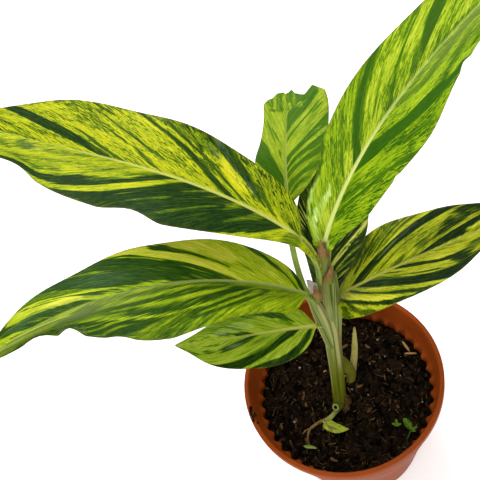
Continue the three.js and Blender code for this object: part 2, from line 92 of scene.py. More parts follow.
# Leaves, in mm and degrees. base is the start of the blade, root that of the stalk and foot a
# point below it in the stem. stalk is the stalk's half-width and taper its share of that at the
# root, lean bends its middle, channel is how pale its channel is, and wing is how wide the blade
# runs down it, left and right, from wing_from on. heading, pitch and twist are at the blade's base,
# middle and tip; left and right are its half-widths between base and tip. fold tips both halves
# up, droop bends them back down, wave is (height, number, phase) of the margins. spread is how
# strongly the veins sweep towards the tip, left and right, and sweep how they bend on the way.
# notches are (side, share along, reach, depth), torn (share out, share of the length that is left);
# flap folds one side down by angle beyond its crease, from start to end and eased at both.
LEAVES = {
    "leaf_upper_left": dict(
        base=(3.4, 17.4, 217), root=(5, 12, 178), foot=(3.4, 8.5, 156), stalk=1.8, length=190,
        wing=(5, 0), taper=0.6, lean=(-3.6, 0, 0),
        heading=(134, 142, 132), pitch=(40, 13, 7), twist=(12, -9, -27),
        left=(11, 20, 29.8, 29.2, 27.4, 19.6, 11.2), right=(14, 22, 27.3, 27.8, 27, 21.4, 11.4),
        fold=16, droop=0.1, wave=(1.6, 3.2, 60), spread=(3, 3), sweep=0.85,
        notches=[(1, 0.42, 0.11, 4.2), (1, 0.78, 0.1, 2.4)]),
    "leaf_upper_right": dict(
        base=(13.9, 15.4, 211), root=(12.5, 16, 200), stalk=2.0, length=175, wing=(4.4, 3.6), wing_from=0,
        heading=(15, 9, 4), pitch=(66, 37, 21), twist=(36, 19, 5),
        left=(11, 15.7, 19.6, 21.2, 19.5, 15.5, 7), right=(9, 16.6, 21, 24, 16.8, 12, 7),
        fold=21, droop=0.08, wave=(1.0, 2.6, 20), spread=(2.2, 3.9), sweep=1.0,
        notches=[(1, 0.2, 0.1, 2.2), (-1, 0.61, 0.03, 1.5), (-1, 0.66, 0.05, 0.8), (-1, 0.296, 0.02, 0.7)]),
    "leaf_back": dict(
        base=(5.4, 45, 210), root=(-2.2, 9.2, 168), stalk=1.6, length=75, lean=(-3, 0, 0),
        channel=0.85,
        heading=(69, 62, 64), pitch=(43, 25, 5), twist=(0, 0, 0),
        left=(6, 13, 16, 13.6, 12.2, 12.8, 12), right=(5, 12.4, 19.6, 22.2, 22.6, 21.4, 16),
        fold=11, droop=0.14, wave=(0.8, 2.4, 150), spread=(3, 3), sweep=0.8,
        torn=[(-1, 0.72), (-0.975, 0.81), (-0.8, 0.833), (-0.68, 0.852), (-0.55, 0.816), (-0.43, 0.779),
              (-0.32, 0.785), (-0.18, 0.801), (-0.08, 0.834), (0, 0.815), (0.12, 0.8), (0.19, 0.814),
              (0.46, 0.804), (0.64, 0.767), (0.84, 0.753), (0.97, 0.726), (1, 0.72)]),
    "leaf_right": dict(
        base=(12.2, 13.6, 161), root=(8.5, 9.5, 152), stalk=2.2, length=118,
        heading=(-21, -15, -8), pitch=(39, 25, 10), twist=(3, -2, -3),
        left=(12, 21, 24.5, 24, 19.6, 14, 8), right=(17, 23, 25, 26, 21, 11.6, 8),
        fold=18, droop=0.08, wave=(1.0, 2.8, 90), spread=(6, 6), sweep=1.0),
    "leaf_hidden": dict(
        base=(9, 14.8, 171), root=(6.5, 12, 158), stalk=2.0, length=96, wing=(5.4, 0), wing_from=0,
        heading=(58, 55, 55), pitch=(44, 20, 14), twist=(0, -1, -2),
        left=(9, 12.4, 19, 20.6, 18.6, 10, 6), right=(7, 13, 19, 19, 17, 11, 6),
        fold=14, droop=0.12, wave=(0.8, 2.4, 0), spread=(3, 3), sweep=1.0),
    "leaf_lower_left": dict(
        base=(-3.4, 8.8, 183), root=(-0.5, 8, 168), stalk=2.1, length=180,
        heading=(164, 175, 183), pitch=(46, 11, -24), twist=(-9, -1, 1),
        left=(13, 17, 24.4, 32.8, 23, 11, 6), right=(11, 19.2, 23.8, 24.2, 20, 17, 7.6),
        fold=12, droop=0.13, wave=(1.2, 3.4, 200), spread=(7, 3), sweep=1.0,
        flap=dict(side=1, crease=0.6, start=0.3, end=0.85, ease=0.15, angle=60),
        notches=[(1, 0.375, 0.07, 1.5), (1, 0.69, 0.045, 4.5), (1, 0.78, 0.07, 2.6), (1, 0.56, 0.06, 1.4)]),
    "leaf_small_left": dict(
        base=(-4.8, 4.2, 157.5), root=(1.5, 6.5, 150), stalk=1.5, length=78,
        heading=(174, 166, 158), pitch=(22, 3, -4), twist=(-7, 2, 9),
        left=(8, 15, 19, 19.6, 17.9, 13.2, 5), right=(9, 14, 17, 18, 16, 12, 5),
        fold=5, droop=0.16, wave=(0.6, 2.2, 0), spread=(5.5, 5), sweep=1.0),
}

# Leaf colours as sRGB: dark green, mid green, yellow-green, yellow, and rib, the midrib's; sheen is
# the tint of a painted sheen, a reflection painted into the colour on glossy places. ground is the
# tone of the unmarked blade and dashes how strongly green dashes break it up, each left and right;
# flecks is how many light streaks the dark bands carry; fade and root are how much of the midrib's
# colour is left at the tip and where the stalk ends, fading where along the leaf it goes; wash is a
# paler tint, washed its strength left and right.
COATS = {
    "leaf_upper_left": dict(
        colours=[(8, 42, 4), (84, 112, 4), (168, 180, 12), (214, 206, 30)], rib=(196, 200, 98),
        sheen=(128, 142, 122), ground=(0.69, 0.79), dashes=(0.6, 1.0), flecks=0.35, fade=0.15,
        fading=(0.4, 0.8), root=0.15),
    "leaf_upper_right": dict(
        colours=[(38, 82, 0), (88, 124, 0), (147, 177, 10), (200, 208, 62)], rib=(222, 230, 138),
        sheen=(206, 236, 130), ground=(0.66, 0.62), dashes=(0.9, 1.1), flecks=0.1, fade=0.3,
        fading=(0.2, 0.6), wash=(176, 184, 88), washed=(0.04, 0.2)),
    "leaf_back": dict(
        colours=[(48, 92, 0), (82, 118, 4), (142, 164, 28), (182, 196, 58)], rib=(152, 168, 76),
        sheen=(150, 170, 110), ground=(0.72, 0.68), dashes=(0.35, 0.3), flecks=0.1, fade=0.2),
    "leaf_right": dict(
        colours=[(2, 30, 0), (72, 94, 2), (158, 168, 18), (206, 202, 52)], rib=(170, 172, 76),
        sheen=(110, 128, 104), ground=(0.74, 0.8), dashes=(0.6, 0.6), flecks=0.5, fade=0.7),
    "leaf_hidden": dict(
        colours=[(2, 26, 0), (62, 86, 14), (148, 158, 50), (200, 196, 96)], rib=(158, 166, 84),
        sheen=(120, 140, 110), ground=(0.45, 0.06), dashes=(0.5, 0.2), flecks=0.95, fade=0.5),
    "leaf_lower_left": dict(
        colours=[(20, 56, 4), (88, 118, 4), (156, 178, 10), (212, 210, 66)], rib=(150, 164, 82),
        sheen=(62, 92, 64), ground=(0.52, 0.74), dashes=(0.35, 0.3), flecks=0.5, fade=0.1,
        wash=(142, 152, 80), washed=(0.34, 0.0)),
    "leaf_small_left": dict(
        colours=[(10, 40, 0), (82, 122, 2), (150, 176, 30), (190, 200, 76)], rib=(196, 194, 94),
        sheen=(158, 176, 112), ground=(0.72, 0.68), dashes=(0.3, 0.25), flecks=0.3, fade=0.3),
}

# What the small leaves have instead
PLAIN_COAT = dict(fade=1, dashes=(0, 0), ground=(0.8, 0.8))

# Markings by leaf, painted in order. Places are v, the share along the midrib where a vein starts,
# and t, the share out to the left (+) or right (-) margin. Each mark has its tone, 0 dark to 1
# yellow. One across the blade lists (t, v from, v to); one along it lists (v, t from, t to). A line
# has its half-width and two ends, each a share along the midrib and a way out from it, in mm.
MARKS = {
    "leaf_upper_left": [
        ("across", 0.45, (0, 0, 0.032), (0.2, 0, 0.028), (0.6, 0, 0.022), (1, 0, 0.018)),
        ("across", 0.78, (0, 0.03, 0.046), (0.2, 0.026, 0.042), (0.5, 0.024, 0.038), (1, 0.022, 0.056)),
        ("across", 0.03, (0, 0.048, 0.315), (0.2, 0.042, 0.285), (0.4, 0.04, 0.268), (0.6, 0.042, 0.262),
         (0.8, 0.05, 0.28), (0.9, 0.06, 0.295), (1, 0.085, 0.33)),
        ("across", 0.5, (0.03, 0.1, 0.118), (0.15, 0.083, 0.104), (0.3, 0.077, 0.093),
         (0.5, 0.082, 0.091), (0.64, 0.086, 0.09)),
        ("across", 0.56, (0.03, 0.156, 0.176), (0.12, 0.138, 0.158), (0.27, 0.126, 0.134)),
        ("across", 0.36, (0.32, 0.14, 0.149), (0.5, 0.145, 0.152), (0.76, 0.151, 0.156)),
        ("across", 0.25, (0.45, 0.198, 0.21), (0.8, 0.2, 0.206)),
        ("across", 0.42, (0.03, 0.244, 0.258), (0.18, 0.226, 0.235)),
        ("across", 0.32, (0.03, 0.208, 0.219), (0.14, 0.192, 0.199)),
        ("across", 0.8, (0.05, 0.315, 0.328), (0.2, 0.286, 0.312), (0.35, 0.27, 0.304),
         (0.55, 0.265, 0.301), (0.7, 0.266, 0.302), (0.82, 0.28, 0.32), (0.95, 0.3, 0.38)),
        ("across", 0.03, (0.03, 0.33, 0.372), (0.15, 0.315, 0.352), (0.3, 0.305, 0.33),
         (0.42, 0.303, 0.345), (0.5, 0.302, 0.386), (0.65, 0.303, 0.376), (0.8, 0.318, 0.41),
         (0.88, 0.352, 0.5), (1, 0.385, 0.49)),
        ("across", 0.4, (0.33, 0.33, 0.345), (0.48, 0.332, 0.352)),
        ("across", 0.4, (0.05, 0.37, 0.4), (0.2, 0.352, 0.372)),
        ("across", 0.42, (0.04, 0.43, 0.45), (0.16, 0.415, 0.428), (0.3, 0.4, 0.41)),
        ("along", 0.35, (0.43, 0.66, 0.76), (0.5, 0.64, 0.72), (0.56, 0.62, 0.66)),
        ("along", 0.5, (0.43, 0.5, 0.6), (0.47, 0.5, 0.56)),
        ("along", 0.28, (0.66, 0.26, 0.36), (0.7, 0.14, 0.3), (0.77, 0.08, 0.18)),
        ("along", 0.4, (0.66, 0.46, 0.52), (0.74, 0.36, 0.46), (0.8, 0.26, 0.32)),
        ("along", 0.55, (0.58, 0.2, 0.26), (0.64, 0.17, 0.22)),
        ("across", 0.63, (-0.15, 0, 0.04), (-0.4, 0, 0.075), (-0.7, 0, 0.085), (-1, 0, 0.09)),
        ("across", 0.95, (-0.3, 0.1, 0.135), (-0.55, 0.108, 0.145), (-0.8, 0.125, 0.155),
         (-1, 0.138, 0.15)),
        ("across", 0.2, (-0.18, 0.06, 0.074), (-0.35, 0.066, 0.081), (-0.56, 0.071, 0.084)),
        ("across", 0.06, (-0.24, 0.081, 0.09), (-0.4, 0.085, 0.097), (-0.55, 0.082, 0.106),
         (-0.7, 0.084, 0.114), (-0.85, 0.091, 0.124), (-1, 0.096, 0.136)),
        ("across", 0.5, (-0.7, 0.12, 0.16), (-1, 0.13, 0.2)),
        ("across", 0.14, (-0.14, 0.142, 0.153), (-0.4, 0.149, 0.16), (-0.62, 0.158, 0.165)),
        ("across", 0.12, (-0.62, 0.162, 0.172), (-0.92, 0.174, 0.183)),
        ("across", 0.06, (-0.03, 0.175, 0.208), (-0.2, 0.175, 0.204), (-0.35, 0.177, 0.2),
         (-0.6, 0.182, 0.196), (-0.8, 0.196, 0.208), (-1, 0.205, 0.216)),
        ("across", 0.2, (-0.28, 0.29, 0.304), (-0.6, 0.294, 0.306), (-0.8, 0.3, 0.304)),
        ("across", 0.25, (-0.08, 0.37, 0.385), (-0.2, 0.35, 0.37), (-0.34, 0.338, 0.344)),
        ("across", 0.3, (-0.4, 0.345, 0.358), (-0.58, 0.35, 0.354)),
        ("across", 0.1, (-0.84, 0.273, 0.284), (-0.96, 0.277, 0.287)),
        ("across", 0.16, (-0.05, 0.478, 0.5), (-0.2, 0.472, 0.495), (-0.4, 0.464, 0.474)),
        ("across", 0.03, (-0.02, 0.52, 0.562), (-0.12, 0.509, 0.58), (-0.3, 0.511, 0.612),
         (-0.45, 0.52, 0.62), (-0.6, 0.524, 0.606), (-0.75, 0.508, 0.582), (-0.9, 0.488, 0.552),
         (-1, 0.48, 0.51)),
        ("across", 0.6, (-0.1, 0.735, 0.78), (-0.25, 0.748, 0.8), (-0.46, 0.77, 0.81)),
        ("along", 0.25, (0.74, -0.02, -0.05), (0.82, -0.02, -0.08), (0.88, 0.02, -0.05)),
        ("across", 0.5, (-0.2, 0.66, 0.69), (-0.36, 0.67, 0.7)),
        ("across", 0.1, (-0.1, 0.86, 0.9), (-1, 0.82, 0.86)),
        ("across", 0.1, (0.1, 0.88, 0.93), (1, 0.86, 0.93)),
    ],
    "leaf_upper_right": [
        ("along", 0.84, (0.03, 0.05, 0.5), (0.12, 0.05, 0.4), (0.2, 0.05, 0.36), (0.24, 0.05, 0.3)),
        ("along", 0.1, (0.005, 0.93, 1), (0.07, 0.95, 1)),
        ("along", 0.15, (0.08, 0.9, 1), (0.13, 0.9, 1)),
        ("across", 0.8, (0.05, 0.27, 0.37), (0.4, 0.27, 0.38), (1, 0.3, 0.37)),
        ("across", 0.8, (0.05, 0.4, 0.48), (0.5, 0.4, 0.47), (1, 0.38, 0.43)),
        ("across", 0.8, (0.05, 0.52, 0.7), (0.5, 0.52, 0.68)),
        ("across", 0.25, (0.18, 0.178, 0.188), (0.5, 0.182, 0.193), (0.78, 0.194, 0.202)),
        ("across", 0.3, (0.3, 0.232, 0.275), (0.6, 0.236, 0.285), (1, 0.25, 0.3)),
        ("across", 0.04, (0.02, 0.238, 0.282), (0.2, 0.236, 0.27), (0.45, 0.238, 0.265),
         (0.6, 0.244, 0.267), (0.8, 0.253, 0.276), (1, 0.265, 0.29)),
        ("across", 0.4, (0.28, 0.324, 0.334), (0.56, 0.328, 0.338)),
        ("across", 0.32, (0.72, 0.366, 0.374), (1, 0.366, 0.378)),
        ("across", 0.18, (0.3, 0.396, 0.404), (0.5, 0.39, 0.4), (0.84, 0.386, 0.393)),
        ("across", 0.38, (0.06, 0.402, 0.424), (0.3, 0.392, 0.404)),
        ("across", 0.02, (0.17, 0.51, 0.523), (0.3, 0.49, 0.524), (0.45, 0.468, 0.522),
         (0.6, 0.453, 0.516), (0.8, 0.44, 0.498), (1, 0.422, 0.47)),
        ("across", 0.35, (0.13, 0.484, 0.51), (0.36, 0.46, 0.474)),
        ("across", 0.3, (0.12, 0.57, 0.588), (0.24, 0.562, 0.568)),
        ("across", 0.4, (0.38, 0.578, 0.59), (0.48, 0.574, 0.584)),
        ("along", 0.4, (0.57, 0.02, 0.06), (0.66, 0.02, 0.1), (0.72, 0, 0.04)),
        ("across", 0.68, (-0.05, 0.3, 0.5), (-0.4, 0.28, 0.5), (-1, 0.24, 0.4)),
        ("across", 0.1, (-0.12, 0.073, 0.083), (-0.4, 0.083, 0.094), (-0.6, 0.089, 0.105),
         (-0.8, 0.105, 0.118), (-1, 0.114, 0.124)),
        ("across", 0.28, (-0.16, 0.1, 0.116), (-0.56, 0.106, 0.114)),
        ("across", 0.35, (-0.28, 0.05, 0.06), (-0.5, 0.055, 0.062)),
        ("across", 0.28, (-0.56, 0.17, 0.182), (-0.85, 0.17, 0.178)),
        ("across", 0.02, (-0.04, 0.208, 0.306), (-0.15, 0.2, 0.285), (-0.33, 0.19, 0.274),
         (-0.45, 0.206, 0.286), (-0.6, 0.216, 0.27), (-0.8, 0.212, 0.243), (-1, 0.208, 0.226)),
        ("across", 0.28, (-0.05, 0.412, 0.45), (-0.15, 0.388, 0.43), (-0.3, 0.372, 0.4),
         (-0.36, 0.37, 0.38)),
        ("along", 0.16, (0.38, -0.28, -0.38), (0.5, -0.19, -0.3), (0.6, -0.1, -0.2),
         (0.72, -0.02, -0.1)),
        ("along", 0.2, (0.4, -0.12, -0.16), (0.5, -0.07, -0.11), (0.62, -0.03, -0.06)),
        ("along", 0.16, (0.3, -0.62, -0.68), (0.38, -0.52, -0.58), (0.5, -0.39, -0.44)),
        ("along", 0.25, (0.28, -0.84, -0.88), (0.36, -0.68, -0.73), (0.44, -0.58, -0.62)),
        ("across", 0.05, (0.1, 0.78, 0.83), (1, 0.72, 0.76)),
        ("across", 0.05, (-0.1, 0.8, 0.84), (-1, 0.74, 0.8)),
    ],
    "leaf_back": [
        ("across", 0.3, (0.72, 0.02, 0.06), (0.95, 0.04, 0.07)),
        ("across", 0.4, (0.3, 0.06, 0.08), (0.6, 0.065, 0.085)),
        ("across", 0.08, (0.08, 0.1, 0.17), (0.3, 0.09, 0.194), (0.5, 0.1, 0.2), (0.7, 0.113, 0.204),
         (0.85, 0.12, 0.196), (1, 0.12, 0.19)),
        ("across", 0.3, (0.13, 0.27, 0.3), (0.22, 0.262, 0.28)),
        ("across", 0.32, (0.12, 0.335, 0.352), (0.3, 0.316, 0.336), (0.52, 0.303, 0.313)),
        ("across", 0.42, (0.3, 0.274, 0.284), (0.8, 0.278, 0.3)),
        ("along", 0.55, (0.38, 0.66, 1), (0.46, 0.56, 1), (0.6, 0.44, 1), (0.85, 0.1, 1)),
        # These lines paint the torn tip: partly the leaf's own dark streaks, partly painted shade of the
        # crease and crumples that the mesh leaves unfolded.
        ("line", 0.3, 0.7, (0.673, 8.9), (0.66, 3.0)),
        ("line", 0.3, 0.5, (0.7, 7.9), (0.76, 8.4)),
        ("line", 0.25, 0.5, (0.68, 5.1), (0.8, 5.7)),
        ("line", 0.22, 1.3, (0.68, 3.0), (0.8, 3.9)),
        ("across", 0.24, (-0.25, 0.035, 0.056), (-0.4, 0.045, 0.074), (-0.6, 0.066, 0.08),
         (-0.9, 0.07, 0.084)),
        ("across", 0.2, (-0.03, 0.06, 0.124), (-0.3, 0.084, 0.122), (-0.6, 0.1, 0.123),
         (-1, 0.094, 0.12)),
        ("across", 0.15, (-0.03, 0.156, 0.19), (-0.3, 0.154, 0.184), (-0.5, 0.152, 0.174),
         (-0.7, 0.146, 0.168), (-1, 0.14, 0.18)),
        ("across", 0.1, (-0.03, 0.206, 0.238), (-0.3, 0.2, 0.226), (-0.5, 0.194, 0.218),
         (-0.7, 0.184, 0.214), (-1, 0.18, 0.216)),
        ("across", 0.1, (-0.02, 0.252, 0.312), (-0.2, 0.25, 0.29), (-0.4, 0.244, 0.275),
         (-0.7, 0.235, 0.28), (-1, 0.24, 0.3)),
        ("across", 0.6, (-0.5, 0.255, 0.262), (-0.8, 0.25, 0.262)),
        ("across", 0.3, (-0.66, 0.375, 0.39), (-0.84, 0.372, 0.386)),
        ("across", 0.22, (-0.1, 0.41, 0.424), (-0.3, 0.4, 0.414), (-0.5, 0.392, 0.41),
         (-0.75, 0.4, 0.42)),
        ("across", 0.12, (-0.02, 0.48, 0.85), (-0.2, 0.468, 0.75), (-0.4, 0.46, 0.7), (-0.6, 0.462, 0.7),
         (-0.78, 0.47, 0.7)),
        ("along", 0.75, (0.52, -0.36, -0.39), (0.58, -0.28, -0.35), (0.64, -0.24, -0.3)),
        # These lines paint the torn tip: partly the leaf's own streaks, partly painted shade and painted
        # highlight of the crease and crumples that the mesh leaves unfolded.
        ("line", 0.16, 3.0, (0.7, -2.0), (0.86, -1.6)),
        ("line", 0.16, 2.6, (0.74, -5.6), (0.86, -7.0)),
        ("line", 0.14, 3.4, (0.76, -9.4), (0.86, -11.6)),
        ("line", 0.62, 0.9, (0.684, -1.9), (0.72, -1.2)),
        ("line", 0.5, 1.1, (0.7, -3.9), (0.81, -3.2)),
        ("line", 0.56, 1.2, (0.69, 0.9), (0.76, 2.2)),
        ("line", 0.8, 0.8, (0.703, -5.5), (0.721, -7.3)),
        ("line", 0.62, 0.4, (0.664, 5.9), (0.651, 1.3)),
        ("line", 0.62, 0.4, (0.651, 0.7), (0.682, -2.7)),
        ("line", 0.5, 0.4, (0.682, -2.7), (0.732, -10.5)),
    ],
    "leaf_right": [
        ("along", 0.1, (0.004, 0.3, 1), (0.012, 0.42, 1), (0.03, 0.52, 1), (0.046, 0.56, 1)),
        ("across", 0.5, (0.6, 0.02, 0.024), (1, 0.018, 0.024)),
        ("across", 0.5, (0.62, 0.032, 0.037), (1, 0.034, 0.038)),
        ("across", 0.15, (0.38, 0.05, 0.06), (0.5, 0.052, 0.064)),
        ("along", 0.4, (0.03, 0.5, 1), (0.06, 0.46, 1), (0.1, 0.5, 1), (0.118, 0.6, 1)),
        ("across", 0.75, (0.4, 0.046, 0.052), (0.7, 0.05, 0.058), (1, 0.056, 0.062)),
        ("across", 0.7, (0.5, 0.064, 0.068), (1, 0.07, 0.076)),
        ("across", 0.7, (0.44, 0.078, 0.084), (0.76, 0.084, 0.09), (1, 0.09, 0.095)),
        ("across", 0.65, (0.6, 0.096, 0.1), (1, 0.1, 0.105)),
        ("across", 0.86, (0.48, 0.105, 0.112), (0.6, 0.112, 0.124), (0.8, 0.112, 0.126),
         (1, 0.116, 0.134)),
        ("across", 0.02, (0.03, 0.078, 0.148), (0.2, 0.08, 0.142), (0.34, 0.09, 0.15),
         (0.45, 0.112, 0.158), (0.6, 0.126, 0.172), (0.8, 0.13, 0.183), (1, 0.138, 0.184)),
        ("across", 0.45, (0.35, 0.12, 0.13), (0.5, 0.126, 0.136)),
        ("across", 0.5, (0.12, 0.19, 0.215), (0.4, 0.19, 0.21)),
        ("across", 0.02, (0.32, 0.37, 0.41), (0.45, 0.32, 0.412), (0.6, 0.262, 0.38),
         (0.75, 0.222, 0.345), (0.9, 0.2, 0.3), (1, 0.19, 0.25)),
        ("along", 0.05, (0.2, 0.86, 1), (0.24, 0.64, 0.96), (0.3, 0.47, 0.82), (0.36, 0.37, 0.68),
         (0.42, 0.32, 0.5)),
        ("along", 0.6, (0.21, 0.72, 0.76), (0.27, 0.63, 0.68), (0.32, 0.56, 0.59), (0.36, 0.52, 0.54)),
        ("along", 0.45, (0.25, 0.82, 0.84), (0.3, 0.72, 0.745), (0.35, 0.64, 0.66)),
        ("along", 0.35, (0.3, 0.24, 0.34), (0.34, 0.2, 0.3), (0.39, 0.18, 0.24)),
        ("across", 0.3, (0.03, 0.3, 0.34), (0.12, 0.282, 0.312)),
        ("across", 0.02, (0, 0.43, 0.51), (0.08, 0.432, 0.645), (0.16, 0.455, 0.63), (0.26, 0.47, 0.605),
         (0.36, 0.5, 0.61), (0.46, 0.488, 0.58), (0.6, 0.48, 0.55)),
        ("along", 0.9, (0.595, 0.19, 0.22), (0.64, 0.12, 0.19)),
        ("across", 0.05, (-0.24, 0.004, 0.015), (-0.32, 0.008, 0.028), (-0.5, 0.03, 0.045),
         (-0.7, 0.044, 0.06), (-0.9, 0.06, 0.078), (-1, 0.07, 0.12)),
        ("across", 1, (-0.3, 0.026, 0.05), (-0.6, 0.054, 0.076), (-0.85, 0.072, 0.086)),
        ("across", 0.25, (-0.62, 0.012, 0.02), (-1, 0.012, 0.022)),
        ("across", 0.25, (-0.5, 0.022, 0.028), (-0.8, 0.028, 0.036), (-1, 0.034, 0.05)),
        ("across", 0.08, (-0.06, 0.06, 0.073), (-0.3, 0.066, 0.078), (-0.55, 0.078, 0.088),
         (-0.7, 0.084, 0.098), (-0.95, 0.098, 0.114)),
        ("across", 0.02, (-0.02, 0.103, 0.185), (-0.25, 0.108, 0.17), (-0.45, 0.113, 0.172),
         (-0.65, 0.122, 0.182), (-0.85, 0.13, 0.194), (-1, 0.13, 0.22)),
        ("across", 0.35, (-0.05, 0.18, 0.225), (-0.3, 0.17, 0.188), (-0.5, 0.172, 0.178)),
        ("across", 0.3, (-0.3, 0.194, 0.206), (-0.6, 0.192, 0.21)),
        ("across", 0.35, (-0.08, 0.25, 0.265), (-0.2, 0.24, 0.25)),
        ("across", 0.04, (-0.05, 0.3, 0.345), (-0.2, 0.296, 0.36), (-0.35, 0.295, 0.333),
         (-0.5, 0.28, 0.375), (-0.6, 0.252, 0.34), (-0.75, 0.205, 0.24), (-0.9, 0.17, 0.2)),
        ("along", 0.4, (0.36, -0.44, -1), (0.5, -0.38, -1), (0.62, -0.34, -1)),
        ("across", 0.05, (-0.2, 0.72, 0.78), (-1, 0.66, 0.74)),
        ("across", 0.05, (0.1, 0.78, 0.84), (1, 0.7, 0.8)),
    ],
    "leaf_hidden": [
        ("across", 0.05, (0, 0.1, 0.2), (1, 0.12, 0.22)),
        ("along", 0.5, (0.04, 0.5, 1), (0.1, 0.74, 1), (0.16, 0.92, 1)),
        ("across", 0.34, (0.1, 0.24, 0.3), (1, 0.22, 0.3)),
        ("across", 0.05, (0, 0.36, 0.5), (1, 0.34, 0.42)),
        ("across", 0.05, (0, 0.6, 0.8), (1, 0.56, 0.7)),
        ("across", 0.9, (-0.1, 0.08, 0.118), (-0.3, 0.088, 0.126), (-0.5, 0.098, 0.138),
         (-0.7, 0.126, 0.15), (-1, 0.142, 0.16)),
        ("across", 0.15, (-0.36, 0.112, 0.116), (-0.5, 0.118, 0.122), (-0.64, 0.13, 0.135)),
        ("across", 0.2, (-0.56, 0.112, 0.116), (-0.8, 0.138, 0.143)),
        ("across", 0.66, (-0.4, 0.062, 0.071), (-0.7, 0.078, 0.087), (-1, 0.09, 0.098)),
        ("across", 0.6, (-0.3, 0.05, 0.056), (-0.6, 0.062, 0.068)),
        ("across", 0.66, (-0.34, 0.04, 0.047), (-1, 0.06, 0.067)),
        ("across", 0.6, (-0.5, 0.026, 0.034), (-1, 0.036, 0.044)),
        ("across", 0.62, (-0.3, 0.014, 0.019), (-1, 0.012, 0.017)),
        ("across", 0.6, (-0.05, 0.27, 0.31), (-1, 0.26, 0.3)),
        ("across", 0.7, (-0.05, 0.45, 0.56), (-1, 0.4, 0.5)),
        ("across", 0.7, (-0.05, 0.7, 0.76), (-1, 0.62, 0.7)),
    ],
    "leaf_lower_left": [
        ("along", 0.6, (0, 0.15, 1), (0.04, 0.2, 1), (0.06, 0.22, 1), (0.1, 0.74, 1), (0.13, 0.7, 1)),
        ("across", 0.1, (0.18, 0.07, 0.082), (0.25, 0.055, 0.064), (0.4, 0.047, 0.056),
         (0.6, 0.049, 0.06), (0.75, 0.058, 0.075)),
        ("along", 0.1, (0.06, 0.68, 0.76), (0.08, 0.7, 0.765), (0.1, 0.67, 0.71), (0.14, 0.62, 0.635)),
        ("across", 0.08, (0.2, 0.082, 0.088), (0.4, 0.066, 0.077), (0.58, 0.07, 0.084),
         (0.66, 0.08, 0.1)),
        ("along", 0.12, (0.08, 0.6, 0.66), (0.12, 0.6, 0.64), (0.15, 0.585, 0.6)),
        ("along", 0.72, (0.095, 0.55, 0.59), (0.14, 0.56, 0.6), (0.2, 0.535, 0.57), (0.28, 0.46, 0.5)),
        ("along", 0.75, (0.05, 0.82, 0.9), (0.08, 0.775, 0.81), (0.11, 0.71, 0.735), (0.15, 0.64, 0.66),
         (0.2, 0.575, 0.59), (0.26, 0.53, 0.54)),
        ("across", 0.04, (0.15, 0.11, 0.15), (0.22, 0.098, 0.14), (0.35, 0.094, 0.138),
         (0.45, 0.1, 0.14), (0.52, 0.11, 0.15)),
        ("along", 0.06, (0.1, 0.42, 0.52), (0.15, 0.38, 0.54), (0.2, 0.4, 0.54), (0.27, 0.4, 0.5),
         (0.34, 0.36, 0.42)),
        ("along", 0.66, (0.14, 0.2, 0.32), (0.18, 0.22, 0.37), (0.22, 0.32, 0.39), (0.3, 0.38, 0.42),
         (0.36, 0.34, 0.38)),
        ("along", 0.06, (0.17, 0.12, 0.22), (0.22, 0.12, 0.3), (0.28, 0.2, 0.35), (0.34, 0.25, 0.4),
         (0.4, 0.28, 0.36)),
        ("along", 0.6, (0.27, 0.11, 0.19), (0.32, 0.1, 0.22), (0.38, 0.16, 0.28), (0.42, 0.24, 0.28)),
        ("along", 0.12, (0.2, 0.02, 0.09), (0.3, 0.02, 0.08), (0.36, 0.04, 0.13), (0.42, 0.05, 0.17),
         (0.48, 0.08, 0.13)),
        ("along", 0.1, (0.36, 0.44, 0.6), (0.42, 0.3, 0.56), (0.48, 0.2, 0.48), (0.54, 0.13, 0.38),
         (0.6, 0.1, 0.22)),
        ("along", 0.75, (0.43, 0.02, 0.07), (0.47, 0.03, 0.09), (0.52, 0.02, 0.05)),
        ("along", 0.3, (0.49, 0.02, 0.12), (0.55, 0.04, 0.1), (0.6, 0.02, 0.05)),
        ("along", 0.3, (0.55, 0.44, 0.48), (0.62, 0.33, 0.38), (0.66, 0.2, 0.27), (0.71, 0.03, 0.1)),
        ("along", 0.36, (0.7, 0.4, 0.43), (0.8, 0.22, 0.25), (0.87, 0.04, 0.1)),
        ("across", 0.32, (0.66, 0.1, 0.13), (0.8, 0.075, 0.13), (1, 0.066, 0.12)),
        ("across", 0.62, (0.82, 0.03, 0.062), (1, 0.03, 0.064)),
        ("across", 0.25, (0.82, 0.062, 0.068), (1, 0.058, 0.063)),
        ("across", 0.2, (0.8, 0.074, 0.08), (1, 0.068, 0.073)),
        ("across", 0.15, (0.76, 0.086, 0.094), (1, 0.078, 0.084)),
        ("across", 0.3, (0.74, 0.098, 0.103), (1, 0.088, 0.093)),
        ("across", 0.66, (0.7, 0.108, 0.12), (0.82, 0.104, 0.116), (1, 0.096, 0.106)),
        ("across", 0.2, (0.72, 0.112, 0.116), (1, 0.1, 0.103)),
        ("across", 0.05, (0.62, 0.128, 0.3), (0.8, 0.121, 0.3), (1, 0.11, 0.3)),
        ("across", 0.55, (0.72, 0.148, 0.156), (0.92, 0.134, 0.14)),
        ("across", 0.6, (0.6, 0.18, 0.195), (0.72, 0.172, 0.184), (0.9, 0.16, 0.166)),
        ("across", 0.5, (0.66, 0.205, 0.215), (0.94, 0.182, 0.188)),
        ("across", 0.05, (-0.3, 0.004, 0.016), (-0.6, 0.003, 0.018), (-1, 0.003, 0.022)),
        ("across", 0.12, (-0.1, 0.018, 0.027), (-0.4, 0.026, 0.034), (-0.6, 0.034, 0.047),
         (-0.8, 0.045, 0.062), (-1, 0.055, 0.07)),
        ("across", 0.95, (-0.5, 0.11, 0.15), (-0.8, 0.1, 0.165), (-1, 0.11, 0.165)),
        ("across", 0.97, (-0.03, 0.185, 0.204), (-0.3, 0.175, 0.215), (-0.6, 0.185, 0.225),
         (-1, 0.185, 0.235)),
